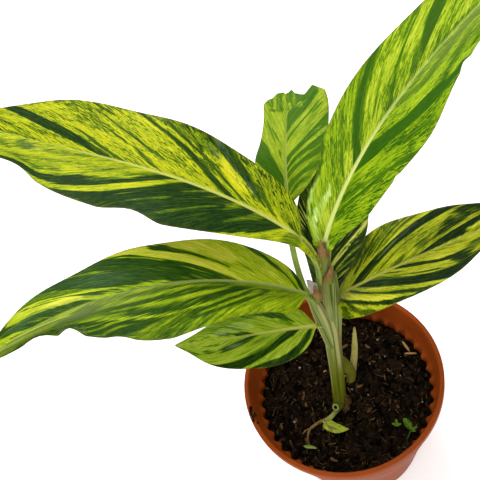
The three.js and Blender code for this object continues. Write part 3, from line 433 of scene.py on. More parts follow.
        ("across", 0.06, (-0.38, 0.154, 0.162), (-0.55, 0.16, 0.175), (-0.7, 0.168, 0.186),
         (-0.85, 0.17, 0.197), (-0.94, 0.164, 0.19)),
        ("across", 0.4, (-0.34, 0.11, 0.118), (-0.52, 0.115, 0.12)),
        ("across", 0.04, (0, 0.206, 0.54), (-0.12, 0.209, 0.52), (-0.22, 0.214, 0.488),
         (-0.4, 0.222, 0.474), (-0.55, 0.229, 0.46), (-0.7, 0.234, 0.438), (-0.85, 0.228, 0.41),
         (-1, 0.25, 0.388)),
        ("across", 0.7, (-0.58, 0.236, 0.245), (-0.7, 0.238, 0.246), (-0.86, 0.242, 0.248)),
        ("across", 0.66, (-0.68, 0.322, 0.336), (-0.78, 0.314, 0.328)),
        ("across", 0.4, (-0.8, 0.312, 0.324), (-0.95, 0.31, 0.32)),
        ("across", 0.36, (-0.2, 0.238, 0.252), (-0.32, 0.244, 0.25)),
        ("across", 0.36, (-0.02, 0.29, 0.302), (-0.1, 0.285, 0.3)),
        ("along", 0.66, (0.39, -0.05, -0.11), (0.42, -0.02, -0.12), (0.5, -0.03, -0.1),
         (0.56, -0.02, -0.06)),
        ("along", 0.62, (0.395, -0.94, -1), (0.42, -0.78, -0.83), (0.445, -0.63, -0.7),
         (0.47, -0.42, -0.52)),
        ("along", 0.12, (0.41, -0.92, -0.97), (0.46, -0.66, -0.74), (0.49, -0.42, -0.52),
         (0.505, -0.33, -0.36)),
        ("across", 0.3, (-0.3, 0.48, 0.51), (-0.55, 0.46, 0.52), (-0.7, 0.438, 0.5),
         (-0.85, 0.41, 0.485), (-1, 0.388, 0.46)),
        ("across", 0.8, (-0.15, 0.485, 0.5), (-0.3, 0.49, 0.52), (-0.4, 0.505, 0.62),
         (-0.55, 0.51, 0.635), (-0.7, 0.49, 0.605), (-0.85, 0.475, 0.54), (-1, 0.45, 0.47)),
        ("across", 0.92, (-0.16, 0.58, 0.6), (-0.26, 0.55, 0.64), (-0.4, 0.56, 0.63)),
        ("across", 0.2, (-0.46, 0.555, 0.563), (-0.6, 0.55, 0.562), (-0.8, 0.5, 0.512)),
        ("across", 0.3, (-0.34, 0.53, 0.538), (-0.6, 0.52, 0.53)),
        ("across", 0.08, (-0.13, 0.5, 0.56), (-0.24, 0.525, 0.555), (-0.33, 0.53, 0.54)),
        ("across", 0.06, (0, 0.6, 0.79), (-0.12, 0.6, 0.82), (-0.26, 0.655, 0.83), (-0.4, 0.665, 0.815),
         (-0.55, 0.69, 0.78), (-0.7, 0.64, 0.74), (-0.85, 0.565, 0.66), (-1, 0.48, 0.56)),
        ("along", 0.5, (0.62, -0.44, -0.47), (0.68, -0.38, -0.42)),
        ("across", 0.64, (-0.01, 0.8, 1), (-0.4, 0.825, 1), (-1, 0.76, 1)),
        ("line", 0.16, 0.5, (0.878, 1.3), (0.735, 4.0)),
        ("line", 0.16, 0.45, (0.735, 4.0), (0.606, 2.7)),
        ("line", 0.16, 0.5, (0.842, 6.6), (0.714, 10.6)),
        ("line", 0.16, 0.5, (0.714, 10.6), (0.571, 8.4)),
        ("line", 0.18, 0.45, (0.803, 2.5), (0.632, 5.2)),
        ("line", 0.16, 0.5, (0.859, -0.5), (0.714, 2.9)),
        ("line", 0.18, 0.45, (0.761, 7.6), (0.541, 11.4)),
        ("line", 0.16, 0.5, (0.93, 2.5), (0.814, 5.7)),
        ("line", 0.9, 0.35, (0.877, -0.2), (0.677, 3.8)),
        # The last two marks lie along the flap's crease and paint the fold: the light one a painted
        # highlight on its edge, the dark one painted shade in it.
        ("along", 0.72, (0.13, 0.575, 0.595), (0.3, 0.58, 0.595), (0.46, 0.582, 0.595)),
        ("along", 0.12, (0.12, 0.6, 0.615), (0.3, 0.6, 0.622), (0.5, 0.6, 0.612)),
    ],
    "leaf_small_left": [
        ("along", 0.5, (0.16, -0.6, -0.95), (0.3, -0.55, -0.9), (0.45, -0.45, -0.8), (0.6, -0.35, -0.6)),
        ("across", 0.04, (0.22, 0.018, 0.03), (0.35, 0.01, 0.033), (0.6, 0.01, 0.037),
         (0.75, 0.013, 0.06), (0.9, 0.03, 0.1), (1, 0.03, 0.12)),
        ("across", 0.04, (0.03, 0.1, 0.175), (0.15, 0.086, 0.16), (0.3, 0.083, 0.155),
         (0.42, 0.105, 0.154), (0.6, 0.117, 0.176), (0.8, 0.122, 0.194), (1, 0.13, 0.222)),
        # Painted shadow: a mid-green strip beside the dark band.
        ("across", 0.46, (0.1, 0.16, 0.19), (0.4, 0.155, 0.18), (0.55, 0.16, 0.19)),
        ("across", 0.5, (0.14, 0.27, 0.3), (0.3, 0.255, 0.28)),
        ("across", 0.1, (0.03, 0.37, 0.44), (0.15, 0.362, 0.47), (0.28, 0.355, 0.5), (0.4, 0.36, 0.47),
         (0.44, 0.37, 0.41)),
        ("along", 0.32, (0.33, 0.88, 0.93), (0.42, 0.72, 0.88), (0.5, 0.68, 0.8)),
        ("along", 0.24, (0.44, 0.46, 0.6), (0.5, 0.44, 0.58), (0.58, 0.42, 0.5)),
        ("along", 0.36, (0.58, 0.22, 0.3), (0.66, 0.2, 0.28), (0.73, 0.24, 0.28)),
        ("along", 0.42, (0.72, 0.42, 0.48), (0.8, 0.34, 0.4)),
        ("across", 0.14, (-0.28, 0.068, 0.082), (-0.45, 0.067, 0.106), (-0.6, 0.066, 0.14),
         (-0.72, 0.066, 0.17)),
        ("along", 0.3, (0.14, -0.66, -0.76), (0.18, -0.74, -0.86), (0.21, -0.84, -0.92)),
        ("across", 0.42, (-0.18, 0.09, 0.13), (-0.38, 0.09, 0.12)),
        ("across", 0.85, (-0.78, 0.1, 0.14), (-1, 0.06, 0.17)),
        ("along", 0.95, (0.26, -0.31, -0.36), (0.3, -0.27, -0.33), (0.34, -0.24, -0.27)),
        ("across", 0.3, (-0.26, 0.38, 0.41), (-0.42, 0.36, 0.41), (-0.56, 0.35, 0.45)),
        ("across", 0.08, (-0.01, 0.42, 0.52), (-0.06, 0.4, 0.535), (-0.14, 0.42, 0.51)),
        ("along", 0.2, (0.48, -0.2, -0.27), (0.55, -0.13, -0.22), (0.62, -0.1, -0.17)),
        ("along", 0.42, (0.66, -0.2, -0.26), (0.76, -0.16, -0.22)),
        ("along", 0.4, (0.8, -0.26, -0.38), (0.85, -0.16, -0.32)),
    ],
}

# Painted sheens: places where a leaf's sheen tint is painted into its colour as a reflection, given
# like the markings; the first number is how strong it is. The stub leaf's entry marks its dry brown
# patch instead, its own colour, which its shader lays from the same values.
SHEENS_AND_DRY_PATCHES = {
    "stub_leaf": [
        ("along", 0.9, (0.12, -0.1, -0.5), (0.3, -0.06, -0.6), (0.5, 0.02, -0.3)),
        ("along", 0.7, (0.0, 0.3, 1), (0.06, 0.4, 1)),
    ],
    "leaf_upper_left": [
        ("across", 0.4, (-0.4, 0.09, 0.096), (-0.7, 0.105, 0.112), (-1, 0.11, 0.116)),
        ("across", 0.25, (-0.45, 0.112, 0.122), (-0.75, 0.124, 0.136)),
        ("along", 0.2, (0.67, 0.16, 0.28), (0.76, 0.1, 0.16)),
    ],
    "leaf_upper_right": [
        ("along", 1, (0.004, 0.4, 0.8), (0.018, 0.52, 0.86), (0.035, 0.56, 0.8), (0.055, 0.55, 0.68)),
        ("along", 0.85, (0.06, 0.4, 0.58), (0.085, 0.34, 0.5), (0.11, 0.3, 0.42)),
        ("along", 0.6, (0.03, 0.9, 0.98), (0.06, 0.84, 0.96), (0.08, 0.82, 0.92)),
    ],
    "leaf_right": [
        ("across", 0.2, (0.4, 0.125, 0.14), (0.7, 0.13, 0.145)),
    ],
    "leaf_lower_left": [
        ("across", 0.34, (-0.3, 0.38, 0.47), (-0.5, 0.34, 0.45), (-0.8, 0.33, 0.4), (-1, 0.33, 0.37)),
        ("along", 0.45, (0.56, -0.1, -0.2), (0.68, -0.2, -0.5), (0.76, -0.2, -0.5), (0.8, -0.1, -0.3)),
        ("along", 0.35, (0.4, 0.4, 0.6), (0.5, 0.2, 0.4), (0.56, 0.1, 0.2)),
    ],
    "leaf_small_left": [
        ("along", 0.5, (0.26, -0.3, -0.5), (0.42, -0.26, -0.5), (0.62, -0.12, -0.26)),
        ("along", 0.3, (0.38, 0.22, 0.36), (0.54, 0.2, 0.3)),
    ],
}

# Helpers


def bend(values, s):
    """Parabola through three values at s of 0, 0.5 and 1."""
    start, middle, end = values
    return start * (1 - s) * (1 - 2 * s) + middle * 4 * s * (1 - s) + end * s * (2 * s - 1)


def smoothstep(low, high, x):
    u = np.clip((x - low) / (high - low), 0, 1)
    return u * u * (3 - 2 * u)


def lerp(a, b, u):
    return a + (b - a) * u


def unit(vectors):
    return vectors / np.maximum(np.linalg.norm(vectors, axis=-1, keepdims=True), 1e-12)


def spline(points, count):
    """Points on the uniform Catmull-Rom curve through the given ones."""
    points = np.asarray(points, float)
    last = len(points) - 1
    place = np.linspace(0, last, count)
    i = np.minimum(place.astype(int), last - 1)
    w = (place - i)[:, None]
    p0, p1 = points[np.maximum(i - 1, 0)], points[i]
    p2, p3 = points[i + 1], points[np.minimum(i + 2, last)]
    v0, v1 = (p2 - p0) / 2, (p3 - p1) / 2
    cubic = 2 * p1 - 2 * p2 + v0 + v1
    square = 3 * p2 - 3 * p1 - 2 * v0 - v1
    return cubic * w**3 + square * w**2 + v0 * w + p1


def circle(count):
    """Turns of that many places round a circle, in radians."""
    return np.arange(count) / count * 2 * np.pi


def colour(value):
    """Linear RGBA of an sRGB triple from 0 to 255; four values are linear RGBA already."""
    if len(value) == 4:
        return value
    shares = [c / 255 for c in value]
    return (*(c / 12.92 if c <= 0.04045 else ((c + 0.055) / 1.055) ** 2.4 for c in shares), 1)


def grid_faces(rows, columns, start=0, wrap=False):
    """Quads of a grid of points numbered row by row."""
    i = np.arange(rows - 1)[:, None]
    j = np.arange(columns if wrap else columns - 1)[None, :]
    k = (j + 1) % columns
    here, ahead = i * columns, (i + 1) * columns
    return np.stack([here + j, here + k, ahead + k, ahead + j], -1).reshape(-1, 4) + start


def fan(hub, first, count, flip=False):
    """Triangles from a hub to a closed ring of points numbered from first."""
    faces = [[hub, first + j, first + (j + 1) % count] for j in range(count)]
    return [face[::-1] for face in faces] if flip else faces


def add_mesh(name, points, faces, material=None):
    """Mesh object from points in mm."""
    mesh = bpy.data.meshes.new(name)
    mesh.from_pydata((np.asarray(points) * MM).tolist(), [], [list(map(int, f)) for f in faces])
    if material:
        mesh.materials.append(material)
    obj = bpy.data.objects.new(name, mesh)
    bpy.context.scene.collection.objects.link(obj)
    return obj


def make_object(name, points, faces, material, node, values):
    """Smooth piece of the part, riding on the body root, with values for its material."""
    obj = add_mesh(f"{name}_detail" if name == node else name, points, faces, material)
    for key, data in values.items():
        attribute = obj.data.attributes.new(key, "FLOAT", "POINT")
        attribute.data.foreach_set("value", np.asarray(data, np.float32))
    obj.data.polygons.foreach_set("use_smooth", [True] * len(obj.data.polygons))
    obj.data.update()
    if node:
        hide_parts(node)
    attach(obj, "root")
    return obj


def corner_vertices(obj):
    """The vertex at each corner of a mesh object's faces."""
    corners = np.zeros(len(obj.data.loops), np.int32)
    obj.data.loops.foreach_get("vertex_index", corners)
    return corners


def add_uv(obj, name, uv):
    layer = obj.data.uv_layers.new(name=name)
    layer.data.foreach_set("uv", uv.astype(np.float32).ravel())


class Shader:
    """Node tree of one material, with short calls for the nodes used here."""

    def __init__(self, name):
        self.material = bpy.data.materials.new(name)
        self.material.use_nodes = True
        self.nodes = self.material.node_tree.nodes
        self.links = self.material.node_tree.links
        self.surface = self.nodes["Principled BSDF"]

    def put(self, socket, value):
        if isinstance(value, bpy.types.NodeSocket):
            self.links.new(value, socket)
        else:
            socket.default_value = colour(value) if isinstance(value, tuple) else value

    def surface_set(self, **values):
        for key, value in values.items():
            self.put(self.surface.inputs[key.replace("_", " ")], value)

    def attribute(self, name):
        node = self.nodes.new("ShaderNodeAttribute")
        node.attribute_name = name
        return node.outputs["Fac"]

    def math(self, operation, a, b, clamp=False):
        node = self.nodes.new("ShaderNodeMath")
        node.operation = operation
        node.use_clamp = clamp
        self.put(node.inputs[0], a)
        self.put(node.inputs[1], b)
        return node.outputs[0]

    def plus(self, a, b, clamp=False):
        return self.math("ADD", a, b, clamp)

    def minus(self, a, b, clamp=False):
        return self.math("SUBTRACT", a, b, clamp)

    def times(self, a, b):
        return self.math("MULTIPLY", a, b)

    def remap(self, value, low, high, out_low=0.0, out_high=1.0):
        node = self.nodes.new("ShaderNodeMapRange")
        node.interpolation_type = "SMOOTHSTEP"
        for socket, v in zip(node.inputs[:5], (value, low, high, out_low, out_high)):
            self.put(socket, v)
        return node.outputs[0]

    def uv(self, name):
        node = self.nodes.new("ShaderNodeUVMap")
        node.uv_map = name
        return node.outputs[0]

    def position(self):
        return self.nodes.new("ShaderNodeTexCoord").outputs["Object"]

    def noise(self, source, scale, detail, roughness=0.5, offset=(0, 0, 0)):
        """Noise at one scale, or at a scale for each axis, which can be shifted too."""
        if isinstance(scale, tuple):
            mapping = self.nodes.new("ShaderNodeMapping")
            self.put(mapping.inputs["Vector"], source)
            mapping.inputs["Scale"].default_value = scale
            mapping.inputs["Location"].default_value = offset
            source, scale = mapping.outputs[0], 1.0
        node = self.nodes.new("ShaderNodeTexNoise")
        self.put(node.inputs["Vector"], source)
        node.inputs["Scale"].default_value = scale
        node.inputs["Detail"].default_value = detail
        node.inputs["Roughness"].default_value = roughness
        return node.outputs["Fac"]

    def mix(self, factor, a, b):
        node = self.nodes.new("ShaderNodeMix")
        node.data_type = "RGBA"
        self.put(node.inputs[0], factor)
        self.put(node.inputs[6], a)
        self.put(node.inputs[7], b)
        return node.outputs[2]

    def ramp(self, factor, stops):
        node = self.nodes.new("ShaderNodeValToRGB")
        elements = node.color_ramp.elements
        while len(elements) < len(stops):
            elements.new(0.5)
        for element, (place, value) in zip(elements, stops):
            element.position = place
            element.color = colour(value)
        self.put(node.inputs[0], factor)
        return node.outputs["Color"]

    def bump(self, height, distance):
        node = self.nodes.new("ShaderNodeBump")
        node.inputs["Distance"].default_value = distance
        self.put(node.inputs["Height"], height)
        self.put(self.surface.inputs["Normal"], node.outputs[0])


# Leaves

# Edges of the marks: how ragged their ends are (spacing in mm, share of the way out to the margin),
# then how soft the edges and the ends of those across the blade and along it are, in their shares
RAGGED_SPACING = 0.8
RAGGED_SHARE = 0.028
SOFT_ACROSS = (0.0028, 0.03)
SOFT_ALONG = (0.018, 0.006)

# The blade's first part, whose fine veins all fan out of its base, and steps to find a vein
VEIN_FAN = 0.16
VEIN_STEPS = 18

# Shift between the veins' coordinates on the two sides, which keeps their patterns apart
SIDES_APART = 400


def by_side(side, pair):
    """The first of two values on the left of a leaf, and the second on its right."""
    return np.where(side > 0, *pair)


def width_curve(halves, start):
    places = spline([(s, w) for s, w in zip(STATIONS, [start, *halves, 0])], 240)
    return lambda s: np.maximum(np.interp(s, places[:, 0], places[:, 1]), 0)


def leaf_directions(leaf, s):
    """Along, sideways and upward unit vectors of the midrib at s."""
    heading, pitch, twist = (np.radians(bend(leaf[key], s)) for key in ("heading", "pitch", "twist"))
    along = np.stack([np.cos(pitch) * np.cos(heading), np.cos(pitch) * np.sin(heading), np.sin(pitch)], -1)
    level = np.stack([-np.sin(heading), np.cos(heading), 0 * heading], -1)
    normal = np.cross(along, level)
    cos, sin = np.cos(twist)[..., None], np.sin(twist)[..., None]
    return along, level * cos + normal * sin, normal * cos - level * sin


def midrib_points(leaf, s):
    middles = (np.arange(MIDRIB_STEPS) + 0.5) / MIDRIB_STEPS
    path = np.cumsum(leaf_directions(leaf, middles)[0] * leaf["length"] / MIDRIB_STEPS, axis=0)
    path = np.vstack([np.zeros(3), path]) + leaf["base"]
    places = np.linspace(0, 1, MIDRIB_STEPS + 1)
    return np.stack([np.interp(s, places, path[:, k]) for k in range(3)], -1)


def cross_section(leaf, s, side, half, t):
    """Offsets out from the midrib and up from it, at share t of the half-width on one side."""
    fold = math.radians(leaf["fold"])
    height, waves, phase = leaf["wave"]
    out = half * t * math.cos(fold)
    up = half * t * math.sin(fold) - leaf["droop"] * half * t * t
    phases = 2 * np.pi * waves * s + math.radians(phase) + side
    up = up + height * t * t * np.sin(np.pi * s) * np.sin(phases)
    flap = leaf.get("flap")
    if flap:
        ease = flap["ease"]
        opened = smoothstep(flap["start"], flap["start"] + ease, s)
        opened = opened * (1 - smoothstep(flap["end"] - ease, flap["end"], s))
        turn = math.radians(flap["angle"]) * opened
        beyond = half * np.clip(t - flap["crease"], 0, 1) * (side == flap["side"])
        out = out - beyond * (1 - np.cos(turn))
        up = up - beyond * np.sin(turn)
    return out, up


def band(x, low, high, soft):
    """1 between two edges, which may vary, and 0 outside them."""
    return smoothstep(low - soft, low + soft, x) * (1 - smoothstep(high - soft, high + soft, x))


def painted(marks, length, v, t, s, y, value, blur=1):
    """Values over a blade, after its marks are laid over a ground value; y is the way out in mm."""
    steps = int(length / RAGGED_SPACING)
    rough = np.random.default_rng(5).normal(size=steps)
    ragged = RAGGED_SHARE * np.interp(v, np.linspace(0, 1, steps), rough)
    for kind, tone, *stops in marks:
        if kind == "line":
            half, *ends = stops
            (x0, y0), (x1, y1) = [(place * length, out) for place, out in ends]
            along = np.clip(((s * length - x0) * (x1 - x0) + (y - y0) * (y1 - y0))
                            / ((x1 - x0) ** 2 + (y1 - y0) ** 2), 0, 1)
            away = np.hypot(s * length - lerp(x0, x1, along), y - lerp(y0, y1, along))
            value = lerp(value, tone, 1 - smoothstep(0.5 * half, 1.3 * half, away))
            continue
        stops = np.array(sorted(stops))
        sides = np.sign(np.mean(stops[:, 0] if kind == "across" else stops[:, 1:]))
        if kind == "across":
            place, other, softness, jitter = t, v, SOFT_ACROSS, ragged
        else:
            place, other, softness, jitter = v, t + ragged, SOFT_ALONG, 0
        soft, ends = softness[0] * blur, softness[1] * blur
        edges = np.sort(stops[:, 1:], axis=1)
        bent = place + 0.8 * jitter
        low = np.interp(bent, stops[:, 0], edges[:, 0])
        high = np.interp(bent, stops[:, 0], edges[:, 1])
        reach = band(place + jitter, stops[0, 0] - ends, stops[-1, 0] + ends, ends)
        inside = band(other, low, high, np.minimum(soft, blur * ((high - low) / 2 + 0.0005)))
        value = lerp(value, tone, inside * reach * (t * sides > -0.001))
    return value


def vein_texture(leaf, side, s, t):
    """Distance across the fine veins, in mm: they also fan out of the blade's base."""
    length = leaf["length"]
    power = by_side(side, leaf["spread"]) * 0.85
    curve = np.maximum(t, 1e-4) ** leaf["sweep"]

    def margin(v):
        return 1 - (1 - VEIN_FAN) * (1 - v) ** power

    low, high = np.zeros_like(s * t), np.ones_like(s * t)
    for _ in range(VEIN_STEPS):
        middle = (low + high) / 2
        beyond = middle + (margin(middle) - middle) * curve > s
        low, high = np.where(beyond, low, middle), np.where(beyond, middle, high)
    across = length * (0.3 * low + 0.2 * (margin(low) - VEIN_FAN))
    return across - length * 0.42 * np.clip(VEIN_FAN - s / curve, 0, 1) * t


def leaf_shader(name):
    coat = COATS[name]
    dark, mid, green, yellow = coat["colours"]
    shader = Shader(name)
    seed = 7.0 * sorted(LEAVES).index(name)
    veins = shader.uv("veins")
    fine = shader.noise(veins, (1.6, 0.2, 1), 2, 0.6, (seed, 3, seed))
    grain = shader.noise(veins, (3.0, 0.42, 1), 1, 0.5, (seed, 9, 2))
    streak = shader.noise(veins, (1.0, 0.07, 1), 3, 0.65, (5, seed, 1))
    cloud = shader.noise(veins, (0.11, 0.05, 1), 1, 0.5, (9, 2, seed))
    thread = shader.noise(veins, (1.7, 0.06, 1), 1, 0.5, (2, seed, 4))
    tone = shader.attribute("tone")

    def swing(value, amount):
        return shader.times(shader.minus(value, 0.5), amount)

    lightness = shader.remap(tone, 0.2, 0.55)
    level = shader.plus(fine, shader.plus(swing(cloud, 0.45), swing(grain, 0.45)))
    dash = shader.times(shader.remap(level, 0.48, 0.6), shader.attribute("dashes"))
    dash = shader.times(dash, shader.times(lightness, 0.6))
    fleck = shader.times(shader.remap(thread, 0.58, 0.7), shader.remap(cloud, 0.4, 0.6))
    fleck = shader.times(fleck, shader.times(shader.remap(tone, 0.5, 0.1), coat["flecks"]))
    drift = shader.plus(swing(streak, 1.1), shader.plus(swing(fine, 0.75), swing(grain, 0.6)))
    drift = shader.times(drift, shader.remap(tone, 0.0, 0.32, 0.3, 1.0))
    value = shader.minus(shader.plus(tone, shader.plus(drift, fleck)), dash, clamp=True)
    base = shader.ramp(value, [(0.0, dark), (0.36, mid), (0.66, green), (0.95, yellow)])
    # Painted sheen: the sheen tint painted into the colour as a reflection, broken up by noise.
    painted_sheen = shader.remap(shader.plus(cloud, swing(fine, 1.3)), 0.3, 0.62, 0.15, 1.0)
    painted_sheen = shader.times(shader.attribute("sheen"), painted_sheen)
    base = shader.mix(painted_sheen, base, coat["sheen"])
    base = shader.mix(shader.attribute("wash"), base, coat.get("wash", coat["rib"]))
    base = shader.mix(shader.attribute("rib"), base, coat["rib"])
    pale = shader.mix(0.45, base, (128, 146, 84))
    base = shader.mix(shader.attribute("under"), base, pale)
    base = shader.mix(shader.remap(thread, 0.35, 0.7, 0.0, 0.2), base, dark)
    base = shader.mix(shader.times(shader.attribute("margin"), 0.35), base, (96, 84, 30))
    shader.surface_set(Base_Color=base, Roughness=shader.remap(streak, 0.2, 0.8, 0.4, 0.5), IOR=1.18)
    shader.bump(thread, 0.0002)
    return shader.material


def leaf_columns(leaf):
    """Side, 1 or -1, and share out to the margin of each column of a leaf's points."""
    count = max(14, int(max(leaf["left"] + leaf["right"]) / COLUMN_SPACING))
    shares = np.concatenate([MIDRIB_SHARES, np.linspace(0.15, ROUND_MARGIN, count), MARGIN_SHARES])
    signed = np.concatenate([shares[::-1], -shares[1:]])
    return np.where(signed >= 0, 1, -1)[None, :], np.abs(signed)[None, :]


def vein_rows(leaf, side, t):
    """Rows along the veins: where each starts, where each point's vein does, and its place s."""
    rows = int(leaf["length"] / leaf.get("spacing", ROW_SPACING) / ROWS_PER_VEIN) * ROWS_PER_VEIN
    u = np.linspace(0, 1, rows + 1)
    v = (0.6 * u + 0.4 * u * u)[:, None]
    margin_place = 1 - (1 - v) ** by_side(side, leaf["spread"])
    s = v + (margin_place - v) * t ** leaf["sweep"]
    if "torn" not in leaf:
        return v, np.broadcast_to(v, s.shape), s
    ends = np.array(leaf["torn"])
    torn = s * np.interp(side * t, ends[:, 0], ends[:, 1])
    starts = [np.interp(torn[:, j], s[:, j], v[:, 0]) for j in range(t.size)]
    return v, np.stack(starts, 1), torn


def blade_rows(leaf, side, t, v, s):
    """Points of the blade's top, the way up, depth of the ribs below, way out, midrib's half-width."""
    stalk = leaf["stalk"]
    starts = [wing and wing + stalk for wing in leaf.get("wing", (0, 0))]
    widths = [width_curve(leaf[key], start) for key, start in zip(("left", "right"), starts)]
    half = by_side(side, [width(s) for width in widths])
    for notch_side, place, reach, depth in leaf.get("notches", ()):
        bite = np.clip(1 - ((s - place) / (0.85 * reach)) ** 2, 0, 1) ** 2
        half = half - depth * bite * smoothstep(0.35, 1, t) * (side == notch_side)
    stalk_share = 1 - smoothstep(0, 0.09, s)
    half = np.maximum(half, np.maximum(stalk * stalk_share, TIP_HALF))
    out, up = cross_section(leaf, s, side, half, t)
    x = half * t
    rib_half = lerp(*RIB_HALVES, s**0.6)
    groove = 1 - smoothstep(0, 1, x / rib_half)
    up = up - GROOVE_DEPTH * (1 - s) * groove * (1 - stalk_share)
    vein = np.cos(2 * np.pi * np.arange(len(v)) / ROWS_PER_VEIN)[:, None]
    relief = VEIN_RELIEF * smoothstep(0.04, 0.5, t) * (1 - smoothstep(0.8, 0.97, v)) * (1 - stalk_share)
    up = up + relief * vein
    _, across, upward = leaf_directions(leaf, s)
    points = midrib_points(leaf, s) + across * (side * out)[..., None] + upward * up[..., None]
    rib_depth = MIDRIB_HEIGHT * (1 - s) * (1 - smoothstep(0.2, 1.1, x / rib_half))
    depth = lerp(rib_depth, stalk * STALK_DEPTH * (1 - t * t), stalk_share)
    return points, upward, depth, x, rib_half


def stalk_rows(leaf, side, t):
    """Points of the stalk's top, the way up, its depth, share up it and half-width."""
    stalk = leaf["stalk"]
    along, across, _ = (a[0] for a in leaf_directions(leaf, np.zeros(1)))
    root, base = np.array(leaf["root"], float), np.array(leaf["base"], float)
    reach = np.linalg.norm(root - base)
    count = max(6, int(reach / STALK_SPACING))
    w = (np.arange(count) / count)[:, None]
    knee = base - along * reach * 0.5 + leaf.get("lean", (0, 0, 0))
    centre = (1 - w) ** 2 * root + 2 * w * (1 - w) * knee + w * w * base
    tangent = unit(2 * (1 - w) * (knee - root) + 2 * w * (base - knee))
    if "foot" in leaf:
        deep = np.linspace(0, 1, FOOT_ROWS, endpoint=False)[:, None]
        centre = np.concatenate([lerp(np.array(leaf["foot"], float), root, deep), centre])
        tangent = np.concatenate([np.repeat(tangent[:1], FOOT_ROWS, 0), tangent])
        w = np.concatenate([deep * 0, w])
    sideways = unit(across - tangent * (tangent @ across)[:, None])
    lift = np.cross(tangent, sideways)
    wing = by_side(side, leaf.get("wing", (0, 0))) * smoothstep(leaf.get("wing_from", 0.5), 1, w)
    half = stalk * lerp(leaf.get("taper", 1), 1, w) + wing
    out, up = cross_section(leaf, np.zeros_like(w), side, half, t)
    points = centre[:, None] + sideways[:, None] * (side * out)[..., None] + lift[:, None] * up[..., None]
    depth = np.repeat(stalk * STALK_DEPTH * (1 - t * t), len(w), axis=0)
    return points, np.repeat(lift[:, None], t.size, 1), depth, w, half


def underside(top, upward, depth, t):
    """Points below a leaf's top: the blade's thickness along its normal, and the ribs' depth."""
    normal = np.cross(np.gradient(top, axis=1), np.gradient(top, axis=0))
    length = np.linalg.norm(normal, axis=-1, keepdims=True)
    normal = np.where(length > 1e-6, normal / np.maximum(length, 1e-9), upward)
    normal = normal * np.sign(np.sum(normal * upward, -1, keepdims=True) + 1e-9)
    edge = np.sqrt(np.clip(1 - ((t - ROUND_MARGIN) / (1 - ROUND_MARGIN)) ** 2, 0, 1))
    thickness = BLADE_THICKNESS * lerp(1, 0.6, t) * np.where(t > ROUND_MARGIN, edge, 1)
    return top - normal * thickness[..., None] - upward * depth[..., None]


def both_skins(above, below=None):
    """Values at all points of a leaf, from a grid for its top and one for its underside."""
    below = above if below is None else below
    width = above.shape[2:]
    return np.concatenate([above.reshape(-1, *width), below[:, 1:-1].reshape(-1, *width)])


def skin_faces(rows, columns):
    """Faces of a leaf, whose top and underside share the points of its margins."""
    top = np.arange(rows * columns).reshape(rows, columns)
    below = top.copy()
    below[:, 1:-1] = top.size + np.arange(rows * (columns - 2)).reshape(rows, -1)

    def quads(numbers):
        corners = [numbers[:-1, :-1], numbers[:-1, 1:], numbers[1:, 1:], numbers[1:, :-1]]
        return np.stack(corners, -1).reshape(-1, 4)

    faces = [*quads(top)[:, ::-1], *quads(below)]
    for row, flip in ((0, False), (rows - 1, True)):
        for j in range(columns - 1):
            ring = [top[row, j], top[row, j + 1], below[row, j + 1], below[row, j]]
            ring = list(dict.fromkeys(ring))
            faces.append(ring[::-1] if flip else ring)
    return faces


def leaf_uvs(obj, faces, veins):
    """Vein coordinates, apart on the two sides, and places to bake to, apart above and below."""
    rows, columns = veins.shape[:2]
    corners = corner_vertices(obj)
    face_of_corner = np.repeat(np.arange(len(faces)), [len(f) for f in faces])
    column = both_skins(np.broadcast_to(np.arange(columns), (rows, columns)))
    face_column = np.array([column[list(f)].sum() / len(f) for f in faces])
    on_right = face_column[face_of_corner] > (columns - 1) / 2
    add_uv(obj, "veins", both_skins(veins)[corners] + np.where(on_right, SIDES_APART, 0)[:, None])
    places = np.meshgrid(np.linspace(0.01, 0.99, rows), np.linspace(0.01, 0.48, columns), indexing="ij")
    is_below = face_of_corner >= (rows - 1) * (columns - 1)
    shift = np.stack([np.zeros(len(corners)), np.where(is_below, 0.51, 0)], -1)
    add_uv(obj, "OFBake", both_skins(np.stack(places, -1))[corners] + shift)


